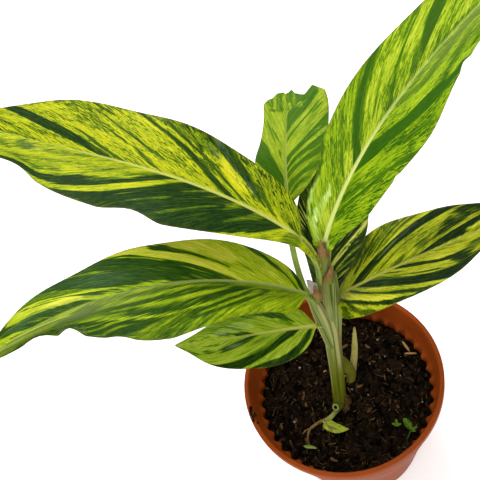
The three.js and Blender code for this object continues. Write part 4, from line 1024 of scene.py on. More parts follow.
def leaf_mesh(name, leaf, material, node):
    """A leaf in one closed skin: channelled stalk, ribbed blade whose mesh rows follow the veins."""
    side, t = leaf_columns(leaf)
    v, vein_place, s = vein_rows(leaf, side, t)
    points, upward, depth, x, rib_half = blade_rows(leaf, side, t, v, s)
    stalk_points, lift, stalk_depth, w, stalk_half = stalk_rows(leaf, side, t)
    top = np.concatenate([stalk_points, points])
    below = underside(top, np.concatenate([lift, upward]), np.concatenate([stalk_depth, depth]), t)
    faces = skin_faces(*top.shape[:2])

    # Values for the material, the same above and below
    stalk, coat = leaf["stalk"], COATS.get(name, PLAIN_COAT)
    zeros = np.zeros(stalk_depth.shape)
    out_share = stalk_half * t / stalk
    where = (leaf["length"], vein_place, side * t, s, side * x)
    tone = painted(MARKS.get(name, ()), *where, by_side(side, coat["ground"]) + 0 * s)
    faded = lerp(1, coat["fade"], smoothstep(*coat.get("fading", (0.15, 0.8)), s))
    rib = (1 - smoothstep(0.5, 1.0, x / rib_half)) * faded
    rib = rib * lerp(coat.get("root", 1), 1, smoothstep(0.01, 0.045, s))
    rib = np.maximum(rib, 0.4 * (1 - smoothstep(0, 0.015, s)) * (x < 1.2 * stalk))
    channel = lerp(leaf.get("channel", 0.15), 0.8, smoothstep(0.45, 0.85, out_share))
    channel = channel * (1 - smoothstep(1.05, 1.3, out_share))
    wash = by_side(side, coat.get("washed", (0, 0))) * smoothstep(0.25, 0.6, vein_place)
    # On the folded-down flap the wash is held back, so that the flap shows darker: painted shade of the
    # fold.
    if "flap" in leaf:
        crease = leaf["flap"]["crease"]
        shaded_flap = smoothstep(crease - 0.02, crease + 0.02, t * (side == leaf["flap"]["side"]))
        wash = wash * (1 - 0.8 * shaded_flap * (1 - smoothstep(0.36, 0.5, vein_place)))
    grids = {
        "tone": (lerp(0.4, 0.66, smoothstep(1, 1.3, out_share)), tone),
        "rib": (channel, rib),
        # Painted sheen, and on the stub leaf its own dry patch.
        "sheen": (zeros, painted(SHEENS_AND_DRY_PATCHES.get(name, ()), *where, 0 * s, 1.8)),
        "dashes": (zeros, by_side(side, coat["dashes"]) + 0 * s),
        "wash": (zeros, wash),
        "margin": (smoothstep(0.95, 1, t) + zeros, smoothstep(0.95, 1, t) + 0 * s),
    }
    values = {key: both_skins(np.concatenate(grid)) for key, grid in grids.items()}
    under = np.zeros(top.shape[:2])
    values["under"] = both_skins(under, under + 1)
    obj = make_object(name, both_skins(top, below), faces, material, node, values)

    # Vein coordinates in mm, across the veins and along them
    across_veins = np.concatenate([zeros - w * 8, vein_texture(leaf, side, s, t)])
    along_vein = np.concatenate([zeros + t * 3, np.hypot(leaf["length"] * (s - vein_place), x)])
    leaf_uvs(obj, faces, np.stack([across_veins, along_vein], -1))


for leaf_name, leaf_form in LEAVES.items():
    leaf_mesh(leaf_name, leaf_form, leaf_shader(leaf_name), leaf_name)


# Pot


def rounded(profile, radius=0.5, steps=4):
    """A profile of (radius, height) points with its corners rounded."""
    points = [np.array(p, float) for p in profile]
    result = [points[0]]
    for before, corner, after in zip(points, points[1:], points[2:]):
        back, ahead = before - corner, after - corner
        cut = min(radius, 0.4 * np.linalg.norm(back), 0.4 * np.linalg.norm(ahead))
        first = corner + unit(back) * cut
        last = corner + unit(ahead) * cut
        for w in np.linspace(0, 1, steps + 1):
            result.append((1 - w) ** 2 * first + 2 * w * (1 - w) * corner + w * w * last)
    return np.array([*result, points[-1]])


def plastic_shader():
    shader = Shader("pot_plastic")
    place = shader.position()
    cloud = shader.noise(place, 38, 4, 0.6)
    specks = shader.noise(place, 900, 2, 0.5)
    turned = shader.noise(place, (60, 60, 1500), 2, 0.5)
    base = shader.ramp(cloud, [(0.3, (128, 56, 14)), (0.7, (148, 66, 20))])
    base = shader.mix(shader.remap(specks, 0.62, 0.75, 0, 0.35), base, (170, 96, 48))
    scuff = shader.noise(place, (140, 140, 700), 3, 0.6, (1, 2, 3))
    base = shader.mix(shader.remap(scuff, 0.6, 0.75, 0, 0.25), base, (120, 62, 40))
    # Dark noise over the pot as dirt, strengthened down the inner wall towards the soil, where the
    # darkening is painted shade of that recess as well as dust.
    dust_and_shade = shader.attribute("dust_and_shade")
    grime_and_shade = shader.remap(shader.plus(shader.noise(place, 260, 4, 0.65), dust_and_shade), 0.85, 1.2)
    base = shader.mix(shader.times(grime_and_shade, 0.75), base, (46, 30, 20))
    shader.surface_set(Base_Color=base, Roughness=shader.remap(cloud, 0.3, 0.7, 0.4, 0.52), IOR=1.12)
    shader.bump(shader.plus(turned, shader.times(specks, 0.5)), 0.00012)
    return shader.material


def make_pot():
    outer = [
        (0, 0), (POT_BASE_RADIUS - 1.4, 0), (POT_BASE_RADIUS, 1.6), (54.2, 69.4), (55.4, 70.4),
        (57.9, POT_HEIGHT - RIM_LIP), (POT_RIM_RADIUS, POT_HEIGHT - RIM_LIP),
        (POT_RIM_RADIUS, POT_HEIGHT), (57.6, POT_HEIGHT), (56.9, POT_HEIGHT - 1.6), (54.9, 80.5),
    ]
    ledge = [(54.4, 79.5), (54.2, 78.6), (54.0, 77.8), (53.9, 77), (53.9, 76.2), (53.9, 75.4),
             (53.9, 74.6), (53.9, 73.8), (53.8, 73), (53.6, 72)]
    inner = [(53.3, 70), (POT_BASE_RADIUS - 1.2, POT_FLOOR + 1), (POT_BASE_RADIUS - 2.2, POT_FLOOR),
             (0, POT_FLOOR)]
    outside = rounded(outer)
    profile = np.concatenate([outside, ledge, rounded(inner)])
    sides = NUB_COUNT * SIDES_PER_NUB
    turn = circle(sides)
    radius = np.repeat(profile[:, :1], sides, 1)
    height = np.repeat(profile[:, 1:], sides, 1)
    nub = np.clip(0.5 + 0.5 * np.cos(NUB_COUNT * turn), 0, 1) ** 1.3
    rise = smoothstep(79.8, 76.4, height) * smoothstep(72.4, 74.2, height)
    on_wall = (radius > 50) & (np.arange(len(profile)) >= len(outside))[:, None]
    radius = radius - NUB_DEPTH * nub[None, :] * rise * on_wall
    points = np.stack([radius * np.cos(turn), radius * np.sin(turn), height], -1)
    points = points[1:-1].reshape(-1, 3)
    rows = len(profile) - 2
    faces = [*grid_faces(rows, sides, wrap=True)[:, ::-1], *fan(len(points), 0, sides, flip=True),
             *fan(len(points) + 1, (rows - 1) * sides, sides)]
    points = np.vstack([points, [0, 0, 0], [0, 0, POT_FLOOR]])
    inside = np.arange(len(points)) >= (len(outside) - 1) * sides
    # Darker down the inner wall towards the soil: painted shade of the recess, with dust.
    dust_and_shade = np.where(inside, smoothstep(84, 73, points[:, 2]), 0) * 0.55
    pot = make_object("pot", points, faces, plastic_shader(), "pot", {"dust_and_shade": dust_and_shade})
    pot.data.flip_normals()
    drill_drains(pot)


def drill_drains(pot):
    """Round drain holes through the pot's floor, cut before the cutter is thrown away."""
    sides = 48
    turn = circle(sides)
    points, faces = [], []
    for i in range(DRAIN_HOLES):
        heading = 2 * math.pi * (i + 0.5) / DRAIN_HOLES
        x, y = DRAIN_CIRCLE * math.cos(heading), DRAIN_CIRCLE * math.sin(heading)
        ring = x + DRAIN_RADIUS * np.cos(turn), y + DRAIN_RADIUS * np.sin(turn)
        for height in (-1.0, POT_FLOOR + 1):
            points.append(np.stack([*ring, np.full(sides, height)], -1))
        low, high = 2 * sides * i, 2 * sides * i + sides
        faces += [*grid_faces(2, sides, low, wrap=True), range(high - 1, low - 1, -1),
                  range(high, high + sides)]
    drills = add_mesh("drills", np.vstack(points), faces)
    cut = pot.modifiers.new("drains", "BOOLEAN")
    cut.object = drills
    cut.solver = "EXACT"
    graph = bpy.context.evaluated_depsgraph_get()
    drilled = bpy.data.meshes.new_from_object(pot.evaluated_get(graph))
    pot.modifiers.clear()
    pot.data = drilled
    cutter = drills.data
    bpy.data.objects.remove(drills)
    bpy.data.meshes.remove(cutter)


# Soil


def soil_bump(x, y):
    coarse = np.sin(0.31 * x + 1.7 * np.sin(0.23 * y)) * np.cos(0.27 * y + np.sin(0.19 * x))
    fine = np.sin(0.9 * x + 2.1 * np.cos(0.7 * y)) * np.sin(0.8 * y + 1.3 * np.sin(0.6 * x))
    inward = np.clip(6 * (1 - np.hypot(x, y) / SOIL_RADIUS), 0, 1)
    return SOIL_LEVEL + SOIL_RELIEF * (0.7 * coarse + 0.6 * fine) * inward


def soil_shader(name, dark, light, rough=0.95):
    shader = Shader(name)
    place = shader.position()
    shade = shader.attribute("shade")
    grain = shader.noise(place, 900, 3, 0.65)
    clump = shader.noise(place, 160, 3, 0.6)
    level = shader.plus(shader.times(grain, 0.5), shader.times(clump, 0.35))
    level = shader.plus(level, shader.minus(shade, 0.4), clamp=True)
    base = shader.ramp(level, [(0.25, dark), (0.85, light)])
    shader.surface_set(Base_Color=base, Roughness=rough, IOR=1.12)
    shader.bump(grain, 0.0006)
    return shader.material


def make_soil(rng):
    rings, sides = 100, 480
    radius = np.linspace(0, 1, rings + 1)[1:] ** 0.8 * SOIL_RADIUS
    turn = circle(sides)
    x = (radius[:, None] * np.cos(turn)).ravel()
    y = (radius[:, None] * np.sin(turn)).ravel()
    crumbs = np.zeros(len(x))
    shade = np.zeros(len(x))
    for _ in range(SOIL_LUMPS):
        r = SOIL_RADIUS * math.sqrt(rng.random())
        heading = rng.random() * 2 * math.pi
        size, stretch, tilt = rng.uniform(0.8, 3.0), rng.uniform(0.5, 1), rng.uniform(0, math.pi)
        dx, dy = x - r * math.cos(heading), y - r * math.sin(heading)
        near = np.flatnonzero((np.abs(dx) < size) & (np.abs(dy) < size))
        ex = dx[near] * math.cos(tilt) + dy[near] * math.sin(tilt)
        ey = -dx[near] * math.sin(tilt) + dy[near] * math.cos(tilt)
        dome = 1 - (ex / size) ** 2 - (ey / (size * stretch)) ** 2
        lump = np.sqrt(np.clip(dome, 0, 1)) * size * rng.uniform(0.3, 0.75)
        higher = lump > crumbs[near]
        crumbs[near] = np.where(higher, lump, crumbs[near])
        shade[near] = np.where(higher & (dome > 0), rng.uniform(0.25, 0.55), shade[near])
    z = soil_bump(x, y) - 0.7 + crumbs
    surface = np.stack([x, y, z], -1)
    walls = []
    for r, height in ((SOIL_RADIUS - 0.1, SOIL_LEVEL - 4), (POT_BASE_RADIUS - 1.6, POT_FLOOR + 1.3)):
        walls.append(np.stack([r * np.cos(turn), r * np.sin(turn), np.full(sides, height)], -1))
    points = np.vstack([surface, *walls, [[0, 0, soil_bump(0.0, 0.0)], [0, 0, POT_FLOOR + 0.3]]])
    rows = rings + len(walls)
    faces = [*grid_faces(rows, sides, wrap=True), *fan(len(points) - 2, 0, sides),
             *fan(len(points) - 1, (rows - 1) * sides, sides, flip=True)]
    shade = np.concatenate([shade, np.full(len(points) - len(shade), 0.3)])
    peat = soil_shader("peat", (3, 2, 1), (50, 36, 24))
    make_object("soil", points, faces, peat, "soil", {"shade": shade})

    def height_at(px, py):
        """Height of the crumbled surface, for what lies on it."""
        r = math.hypot(px, py)
        row = min(int(np.searchsorted(radius, r)), rings - 1)
        column = int(round(math.atan2(py, px) / (2 * math.pi) * sides)) % sides
        return z[row * sides + column]

    return height_at


def lump_shape():
    """Vertices and faces of a small round lump."""
    shape = bmesh.new()
    bmesh.ops.create_icosphere(shape, subdivisions=2, radius=1)
    shape.verts.ensure_lookup_table()
    points = np.array([v.co for v in shape.verts])
    faces = [[v.index for v in f.verts] for f in shape.faces]
    shape.free()
    return points, faces


def scatter(name, items, material):
    """One piece made of many small shapes, each with its own shade."""
    points, faces, shades, start = [], [], [], 0
    for item_points, item_faces, shade in items:
        points.append(item_points)
        faces += [[i + start for i in face] for face in item_faces]
        shades.append(np.full(len(item_points), shade))
        start += len(item_points)
    values = {"shade": np.concatenate(shades)}
    return make_object(name, np.vstack(points), faces, material, None, values)


def turned(points, rng, flat=0.35):
    """Points turned at random about Z and tilted a little."""
    a, b, c = rng.uniform(0, 2 * math.pi), rng.normal(0, flat), rng.normal(0, flat)
    about_z = np.array(Matrix.Rotation(a, 3, "Z"))
    tilt = np.array(Matrix.Rotation(b, 3, "X")) @ np.array(Matrix.Rotation(c, 3, "Y"))
    return points @ tilt.T @ about_z.T


def spot(rng):
    """A place on the soil, away from the foot of the stem."""
    while True:
        r = (SOIL_RADIUS - 2) * math.sqrt(rng.random())
        heading = rng.random() * 2 * math.pi
        x, y = r * math.cos(heading), r * math.sin(heading)
        if math.hypot(x - STEM_FOOT[0], y - STEM_FOOT[1]) > FOOT_CLEAR:
            return x, y


def tube(points, across, along, rows=60, sides=24, shape=None, ends=(True, True)):
    """Vertices, faces, turn and share of an oval tube along a smooth curve."""
    centre = spline(points, rows + 1)
    u = np.linspace(0, 1, rows + 1)
    places = np.linspace(0, 1, len(across))
    a, b = np.interp(u, places, across)[:, None], np.interp(u, places, along)[:, None]
    direction = unit(np.gradient(centre, axis=0))
    first = unit(np.array([1, 0, 0]) - direction * direction[:, :1])
    second = np.cross(direction, first)
    turn = circle(sides)[None, :]
    extra = shape(turn, u[:, None]) if shape else np.zeros((rows + 1, sides))
    ring = first[:, None] * ((a + extra) * np.cos(turn))[..., None] \
        + second[:, None] * ((b + extra) * np.sin(turn))[..., None]
    vertices = (centre[:, None] + ring).reshape(-1, 3)
    faces = [list(f) for f in grid_faces(rows + 1, sides, wrap=True)]
    turns = np.repeat(turn, rows + 1, 0).ravel()
    shares = np.repeat(u[:, None], sides, 1).ravel()
    for row, flip, closed in ((0, True, ends[0]), (rows, False, ends[1])):
        if closed:
            faces += fan(len(vertices), row * sides, sides, flip)
            vertices = np.vstack([vertices, centre[row]])
            turns, shares = np.append(turns, 0), np.append(shares, row / rows)
    return vertices, faces, turns, shares


def make_tube(name, material, node, slot, full, *form):
    """Piece that is one tube; its rise, for the material, is the share along it times full."""
    vertices, faces, _, shares = tube(*form)
    make_object(name, vertices, faces, material, node, {"rise": shares * full})


def make_debris(rng, height_at):
    round_points, round_faces = lump_shape()
    crumbs, chips, beads, fibres = [], [], [], []
    for _ in range(SOIL_CRUMBS):
        x, y = spot(rng)
        size = rng.uniform(0.5, 1.7)
        shape = round_points * (1 + rng.uniform(-0.25, 0.25, (len(round_points), 1)))
        shape = turned(shape * [size, size * rng.uniform(0.5, 0.9), size * rng.uniform(0.35, 0.7)], rng)
        crumbs.append((shape + [x, y, height_at(x, y) + size * 0.25], round_faces, rng.uniform(0.15, 0.75)))
    for _ in range(SOIL_CHIPS):
        x, y = spot(rng)
        size = rng.uniform(1.2, 3.2)
        shape = np.sign(round_points) * np.abs(round_points) ** 0.7
        shape = shape * (1 + rng.uniform(-0.15, 0.15, (len(round_points), 1)))
        shape = turned(shape * [size, size * rng.uniform(0.2, 0.5), rng.uniform(0.25, 0.5)], rng, 0.25)
        chips.append((shape + [x, y, height_at(x, y) + 0.4], round_faces, rng.uniform(0.2, 1.0)))
    for _ in range(SOIL_BEADS):
        x, y = spot(rng)
        size = rng.uniform(0.3, 0.8)
        shape = round_points * (1 + rng.uniform(-0.2, 0.2, (len(round_points), 1))) * size
        shape = turned(shape, rng) + [x, y, height_at(x, y) + size * 0.5]
        beads.append((shape, round_faces, rng.uniform(0.2, 1)))
    for _ in range(SOIL_FIBRES):
        x, y = spot(rng)
        length, heading = rng.uniform(1.2, 3.6) ** rng.uniform(0.8, 1.5), rng.uniform(0, 2 * math.pi)
        curl = rng.uniform(-0.5, 0.5)
        path = []
        for w in (0, 0.33, 0.67, 1):
            px = x + math.cos(heading + curl * w) * length * w
            py = y + math.sin(heading + curl * w) * length * w
            if math.hypot(px, py) > SOIL_RADIUS - 1.5:
                break
            path.append((px, py, height_at(px, py) + rng.uniform(0.1, 0.7)))
        if len(path) < 3:
            continue
        thick = rng.uniform(0.14, 0.42)
        vertices, faces, _, _ = tube(path, [thick, thick * 0.5], [thick * 0.8, thick * 0.4], 8, 6)
        fibres.append((vertices, faces, rng.uniform(0.2, 1.0) ** 1.5))
    scatter("soil_crumbs", crumbs, soil_shader("peat_crumb", (4, 3, 2), (54, 40, 27)))
    scatter("soil_chips", chips, soil_shader("bark", (22, 13, 7), (104, 76, 44), 0.85))
    scatter("soil_perlite", beads, soil_shader("perlite", (70, 62, 54), (150, 142, 130), 0.8))
    scatter("soil_fibres", fibres, soil_shader("fibre", (20, 13, 7), (104, 80, 50), 0.85))


make_pot()
soil_rng = np.random.default_rng(11)
soil_height = make_soil(soil_rng)
make_debris(soil_rng, soil_height)


# Stem

# Strands of the false stem: points up the middle, half-widths across X and along Y; lines are
# (turn in degrees at the foot, at the top, half-width in degrees, share where it starts and
# ends, kind); sheaths are (turn of the free edge at the foot, at the top, height of the step)
STRANDS = [
    dict(points=[(-5, -4, 52), (-5.9, -5.3, 66), (-5.5, -4.8, 76), (-2.1, -1.1, 100), (1.0, 2.7, 125),
                 (3.3, 6.4, 143), (4.4, 9.8, 160)],
         across=(7, 6.2, 4.2, 4.2, 4.5, 5.0, 3.0), along=(7, 5.5, 3.6, 3.6, 3.9, 3.6, 2.4), rows=150,
         lines=[(257, 262, 5, 0.24, 1, "green"), (318, 322, 4, 0.45, 0.8, "green"),
                (302, 300, 6, 0.7, 1, "brown"), (190, 190, 12, 0.45, 1, "pale"),
                # The wide pale line at 288 degrees is a painted highlight down the front; the other pale
                # lines here are the sheath's own colour.
                (288, 284, 20, 0.6, 0.95, "pale"), (345, 345, 9, 0.5, 1, "pale"),
                (60, 70, 8, 0.3, 1, "green"), (140, 150, 8, 0.3, 1, "green"),
                (200, 204, 14, 0.83, 0.95, "brown")],
         sheaths=[(20, 10, 0.2)]),
    dict(points=[(0.2, 2.8, 132), (-0.2, 6, 153), (-1.0, 8.4, 169), (-2.0, 9.2, 179)],
         across=(2.6, 3.8, 3.2, 1.4), along=(2.4, 3.2, 2.6, 1.2), rows=60,
         lines=[(262, 222, 8, 0, 1, "green"), (205, 196, 14, 0, 1, "pale"), (300, 290, 16, 0, 0.9, "pale"),
                (338, 325, 8, 0.1, 1, "brown")],
         sheaths=[(345, 330, 0.25)]),
    dict(points=[(3.6, 4.1, 128), (7.4, 7.2, 149), (10.8, 10.2, 168), (14.0, 12.6, 186)],
         across=(2.4, 3.1, 2.8, 0.8), along=(2.2, 2.9, 2.5, 0.7), rows=60,
         lines=[(275, 268, 8, 0, 0.95, "green"), (246, 240, 5, 0.4, 0.9, "green"),
                (335, 330, 16, 0, 1, "pale")],
         sheaths=[(225, 205, 0.2)]),
    dict(points=[(2.2, 5, 128), (4.6, 9, 154), (7.2, 12.1, 175), (10.4, 14.9, 194), (13, 16, 206)],
         across=(2.8, 4, 3.8, 3.3, 2.0), along=(2.6, 3.4, 3.3, 2.9, 1.8), rows=80,
         lines=[(240, 232, 5, 0.35, 0.66, "brown"), (300, 290, 7, 0.1, 0.7, "green"),
                (225, 215, 10, 0.72, 1, "pale")],
         sheaths=[(230, 215, 0.25)]),
]
STRAND_SIDES = 96
STEM_HEIGHTS = (60, 215)    # where the stem's colour starts and ends its change

# Ligules, the papery scales where stalks leave the stem: points up the middle, half-width, the way
# they face in degrees, and how far to one side their tip is
LIGULES = [
    dict(points=[(0.4, 8.6, 174.0), (2.0, 9.8, 181), (3.0, 11.0, 188)], half=3.0, facing=255, lean=-0.1),
    dict(points=[(9.4, 11.0, 183), (10.8, 12.0, 190), (12.4, 13.2, 198)], half=3.2, facing=258, lean=0.35),
    dict(points=[(10.6, 12.8, 200), (11.5, 13.9, 208), (12.6, 15.2, 217)], half=3.1, facing=256, lean=-0.2),
]
LIGULE_ROWS, LIGULE_COLUMNS = 26, 25
LIGULE_WRAP = 160           # degrees round the stalk
LIGULE_THICKNESS = 0.22

# Outline of the membrane, then heading, length and depth of the buried roots
MEMBRANE = [(-1.4, 9, 195), (1.6, 9, 191.5), (3.4, 9, 186.4), (1.6, 9, 179), (-0.6, 9, 175.4),
            (-1.9, 9, 185.2)]
FOOT_ROOTS = [(20, 26, 30), (95, 22, 36), (165, 28, 28), (235, 24, 34), (310, 27, 32)]


def stem_shader():
    shader = Shader("sheath")
    place = shader.uv("veins")
    stripe = shader.noise(place, (1.1, 0.03, 1), 2, 0.6)
    ribs = shader.noise(place, (3.4, 0.02, 1), 1, 0.5, (4, 1, 2))
    blotch = shader.noise(place, (0.35, 0.08, 1), 3, 0.6, (7, 3, 1))
    height = shader.attribute("height")
    low = shader.ramp(stripe, [(0.3, (72, 80, 4)), (0.7, (118, 124, 26))])
    high = shader.ramp(stripe, [(0.3, (92, 104, 34)), (0.7, (142, 150, 86))])
    base = shader.mix(shader.remap(height, 0.2, 0.62), low, high)
    base = shader.mix(shader.remap(blotch, 0.55, 0.75, 0, 0.35), base, (150, 152, 70))
    green = shader.times(shader.attribute("green"), shader.remap(ribs, 0.2, 0.6, 0.5, 1))
    base = shader.mix(green, base, (58, 82, 18))
    # Pale lines: the sheaths' own pale edges, and on the first strand a painted highlight.
    base = shader.mix(shader.times(shader.attribute("pale"), 0.7), base, (176, 172, 112))
    brown = shader.ramp(blotch, [(0.35, (96, 48, 22)), (0.7, (150, 104, 66))])
    base = shader.mix(shader.attribute("brown"), base, brown)
    shader.surface_set(Base_Color=base, Roughness=shader.remap(stripe, 0.2, 0.8, 0.42, 0.55), IOR=1.22)
    shader.bump(ribs, 0.00025)
    return shader.material


def add_tube_uv(obj, turns, shares, girth, length):
    """Vein coordinates in mm round a tube and along it, continuous across its seam."""
    corners = corner_vertices(obj)
    turn = turns[corners] / (2 * np.pi)
    # Mirrored from side to side, so that the pattern has no seam
    round_it = np.abs(turn * 2 - 1) * girth / 2
    add_uv(obj, "veins", np.stack([round_it, shares[corners] * length], -1))


def near_turn(turn, at, half):
    """1 where a turn, in radians, is at a given one in degrees, falling to 0 at half degrees."""
    away = np.abs((np.degrees(turn) - at + 180) % 360 - 180)
    return 1 - smoothstep(0.35 * half, half, away)


def strand_shape(strand):
    def shape(turn, u):
        relief = 0.05 * np.cos(23 * turn + 2 * u) + 0.04 * np.cos(17 * turn - 3 * u + 1)
        for foot, top, step in strand["sheaths"]:
            behind = (np.degrees(turn) - lerp(foot, top, u)) % 360 / 360
            relief = relief + step * (1 - behind) ** 3 - step * 0.25
        return relief

    return shape


def make_strand(name, strand, material):
    vertices, faces, turns, shares = tube(
        strand["points"], strand["across"], strand["along"], strand["rows"], STRAND_SIDES,
        strand_shape(strand))
    marks = {kind: np.zeros(len(vertices)) for kind in ("green", "brown", "pale")}
    for foot, top, half, start, end, kind in strand["lines"]:
        fade = smoothstep(start - 0.06, start + 0.04, shares)
        fade = fade * (1 - smoothstep(end - 0.08, end + 0.04, shares))
        line = near_turn(turns, lerp(foot, top, shares), half) * fade
        marks[kind] = np.maximum(marks[kind], line)
    for foot, top, _ in strand["sheaths"]:
        edge = near_turn(turns, lerp(foot, top, shares) + 5, 9)
        marks["pale"] = np.maximum(marks["pale"], 0.6 * edge)
    low, high = STEM_HEIGHTS
    marks["height"] = np.clip((vertices[:, 2] - low) / (high - low), 0, 1)
    obj = make_object(name, vertices, faces, material, "pseudostem", marks)
    length = np.linalg.norm(np.diff(np.array(strand["points"], float), axis=0), axis=1).sum()
    add_tube_uv(obj, turns, shares, 2 * np.pi * float(np.mean(strand["across"])), length)


def ligule_shape(points, half, facing, lean, seed):
    """A thin curved scale round a line, open on the far side, pointed and a little ragged on top."""
    rng = np.random.default_rng(seed)
    rows, columns = LIGULE_ROWS, LIGULE_COLUMNS
    u = np.linspace(0, 1, rows)[:, None]
    turn = np.radians(facing) + np.radians(np.linspace(-LIGULE_WRAP / 2, LIGULE_WRAP / 2, columns))[None, :]
    across = np.linspace(-1, 1, columns)
    notches = np.interp(across, np.linspace(-1, 1, 9), 1 - 0.1 * rng.random(9))
    notches = notches * (1 - 0.75 * np.abs((across - lean) / (1 + np.abs(lean))) ** 0.8)
    share = u * notches[None, :]
    path = spline(points, 60)
    place = np.linspace(0, 1, 60)
    centre = np.stack([np.interp(share, place, path[:, k]) for k in range(3)], -1)
    direction = unit(path[-1] - path[0])
    first = unit(np.array([1, 0, 0]) - direction * direction[0])
    second = np.cross(direction, first)
    wide = half * (0.92 + 0.04 * share**2) * (1 + 0.05 * np.sin(9 * turn + 5 * share))
    skins = []
    for radius in (wide, wide - LIGULE_THICKNESS):
        skins.append(centre + first * (radius * np.cos(turn))[..., None]
                     + second * (radius * np.sin(turn))[..., None])
    vertices = np.concatenate([skin.reshape(-1, 3) for skin in skins])
    count = rows * columns
    faces = [*grid_faces(rows, columns), *grid_faces(rows, columns, count)[:, ::-1]]
    rim = [*range(columns), *range(2 * columns - 1, count, columns),
           *range(count - 2, count - columns - 1, -1), *range(count - 2 * columns, 0, -columns)]
    for a, b in zip(rim, rim[1:] + rim[:1]):
        faces.append([b, a, a + count, b + count])
    return vertices, faces


def paper_shader(name, dark, light):
    shader = Shader(name)
    place = shader.position()
    fibre = shader.noise(place, (900, 900, 120), 3, 0.6)
    patch = shader.noise(place, 220, 3, 0.6)
    level = shader.plus(shader.times(fibre, 0.5), shader.times(patch, 0.5))
    rise = shader.plus(shader.attribute("rise"), shader.times(level, 0.5))
    base = shader.ramp(level, [(0.32, dark), (0.66, light)])
    base = shader.mix(shader.remap(rise, 0.42, 0.9), (112, 116, 46), base)
    shader.surface_set(Base_Color=base, Roughness=0.7, IOR=1.2)
    shader.bump(fibre, 0.0003)
    return shader.material


def make_ligules():
    paper = paper_shader("ligule", (88, 54, 24), (150, 116, 70))
    rise = np.tile(np.repeat(np.linspace(0, 1, LIGULE_ROWS), LIGULE_COLUMNS), 2)
    for i, ligule in enumerate(LIGULES):
        vertices, faces = ligule_shape(seed=i, **ligule)
        make_object(f"ligule_{i + 1}", vertices, faces, paper, None, {"rise": rise})


def make_membrane():
    """Grey membrane between two stalks: a thin lens over its outline."""
    sides = 36
    outline = spline([*MEMBRANE, MEMBRANE[0]], sides + 1)[:-1]
    middle = outline.mean(axis=0)
    shares = (0, 0.35, 0.7, 0.92, 1, 0.92, 0.7, 0.35, 0)
    bulge = np.array([0.5, 0.45, 0.3, 0.15, 0, -0.15, -0.2, -0.25, -0.3])
    vertices = np.stack([middle + (outline - middle) * max(share, 0.02) for share in shares])
    vertices[:, :, 1] -= bulge[:, None] + 0.4 * np.sin(0.9 * vertices[:, :, 2])
    vertices = vertices.reshape(-1, 3)
    count = len(vertices)
    faces = [*grid_faces(len(shares), sides, wrap=True), range(sides - 1, -1, -1),
             range(count - sides, count)]
    thin = paper_shader("membrane", (122, 112, 98), (166, 158, 144))
    make_object("ligule_membrane", vertices, faces, thin, None, {"rise": np.ones(count)})


def make_cut_stub():
    """Hollow stub of an older shoot: a tube, its lip and the hollow in it."""
    points = [(-4, -6, 72), (-7.5, -8, 76), (-10, -9.6, 79)]
    rows, sides, lip_rows = 24, 36, 3
    outer, faces, _, _ = tube(points, (3.4, 2.8, 2.3), (3, 2.6, 2.3), rows, sides, ends=(True, False))
    top = np.array(points[2], float)
    direction = unit(top - np.array(points[1], float))
    lip = outer[rows * sides:(rows + 1) * sides]
    loops = [lip]
    for inward, sunk in ((0.12, -0.12), (0.45, -0.1), (0.58, 0.25), (0.62, 1.2), (0.66, 2.4)):
        loops.append(top + (lip - top) * (1 - inward) - direction * sunk)
    loops.append(top - direction * 2.5 + (lip - top) * 0.05)
    faces += [list(f) for f in grid_faces(len(loops), sides, len(outer), wrap=True)]
    vertices = np.vstack([outer, *loops])
    inward = np.arange(len(vertices)) - len(outer)
    # The hollow below the lip is painted near-black as the shade inside it.
    deep = inward >= lip_rows * sides
    values = {"deep": 1.0 * deep, "pale": 0.8 * ((inward >= 0) & ~deep)}
    shader = Shader("cut_stub")
    speckle = shader.noise(shader.position(), 700, 3, 0.6)
    base = shader.ramp(speckle, [(0.3, (70, 78, 18)), (0.7, (112, 116, 42))])
    base = shader.mix(shader.attribute("pale"), base, (138, 146, 78))
    # Painted shade: the hollow near-black.
    base = shader.mix(shader.attribute("deep"), base, (22, 20, 8))
    shader.surface_set(Base_Color=base, Roughness=0.55, IOR=1.2)
    shader.bump(speckle, 0.0003)
    make_object("cut_stub", vertices, faces, shader.material, None, values)


def bark_shader(name, grain, dark, light, rough, depth):
    shader = Shader(name)
    speckle = shader.noise(shader.position(), grain, 4, 0.65)
    base = shader.ramp(speckle, [(0.3, dark), (0.7, light)])
    shader.surface_set(Base_Color=base, Roughness=rough, IOR=1.2)
    shader.bump(speckle, depth)
    return shader.material


def make_rhizome():
    """Brown buds of the rhizome, and the buried roots."""
    def knobbly(turn, u):
        return 0.16 * np.sin(3 * turn + 9 * u) + 0.12 * np.cos(5 * turn - 14 * u) + 0.14 * np.cos(26 * u)

    parts = [tube([(-3, -6, 70), (-1.4, -7.2, 76.5), (-1.8, -6.6, 83)],
                  (3.4, 2.4, 1.0), (3.2, 2.8, 1.0), 30, 30, knobbly),
             tube([(-5, -9.4, 70), (-3.6, -10.2, 75), (-3.4, -9.8, 77.6)],
                  (2.6, 2.2, 1.0), (2.6, 2.2, 1.0), 24, 24, knobbly)]
    for index, (heading, length, depth) in enumerate(FOOT_ROOTS):
        cos, sin = math.cos(math.radians(heading)), math.sin(math.radians(heading))
        foot = np.array([-5.5, -4.8, 60 - (index % 2) * 3])
        way = [foot, foot + [cos * length * 0.5, sin * length * 0.5, -depth * 0.3],
               foot + [cos * length, sin * length, -depth]]
        parts.append(tube(way, (2.2, 1.5, 0.8), (2.2, 1.5, 0.8), 20, 12))
    bark = bark_shader("rhizome", 420, (44, 32, 12), (104, 82, 42), 0.75, 0.0006)
    scatter("rhizome", [(vertices, faces, 0.5) for vertices, faces, _, _ in parts], bark)


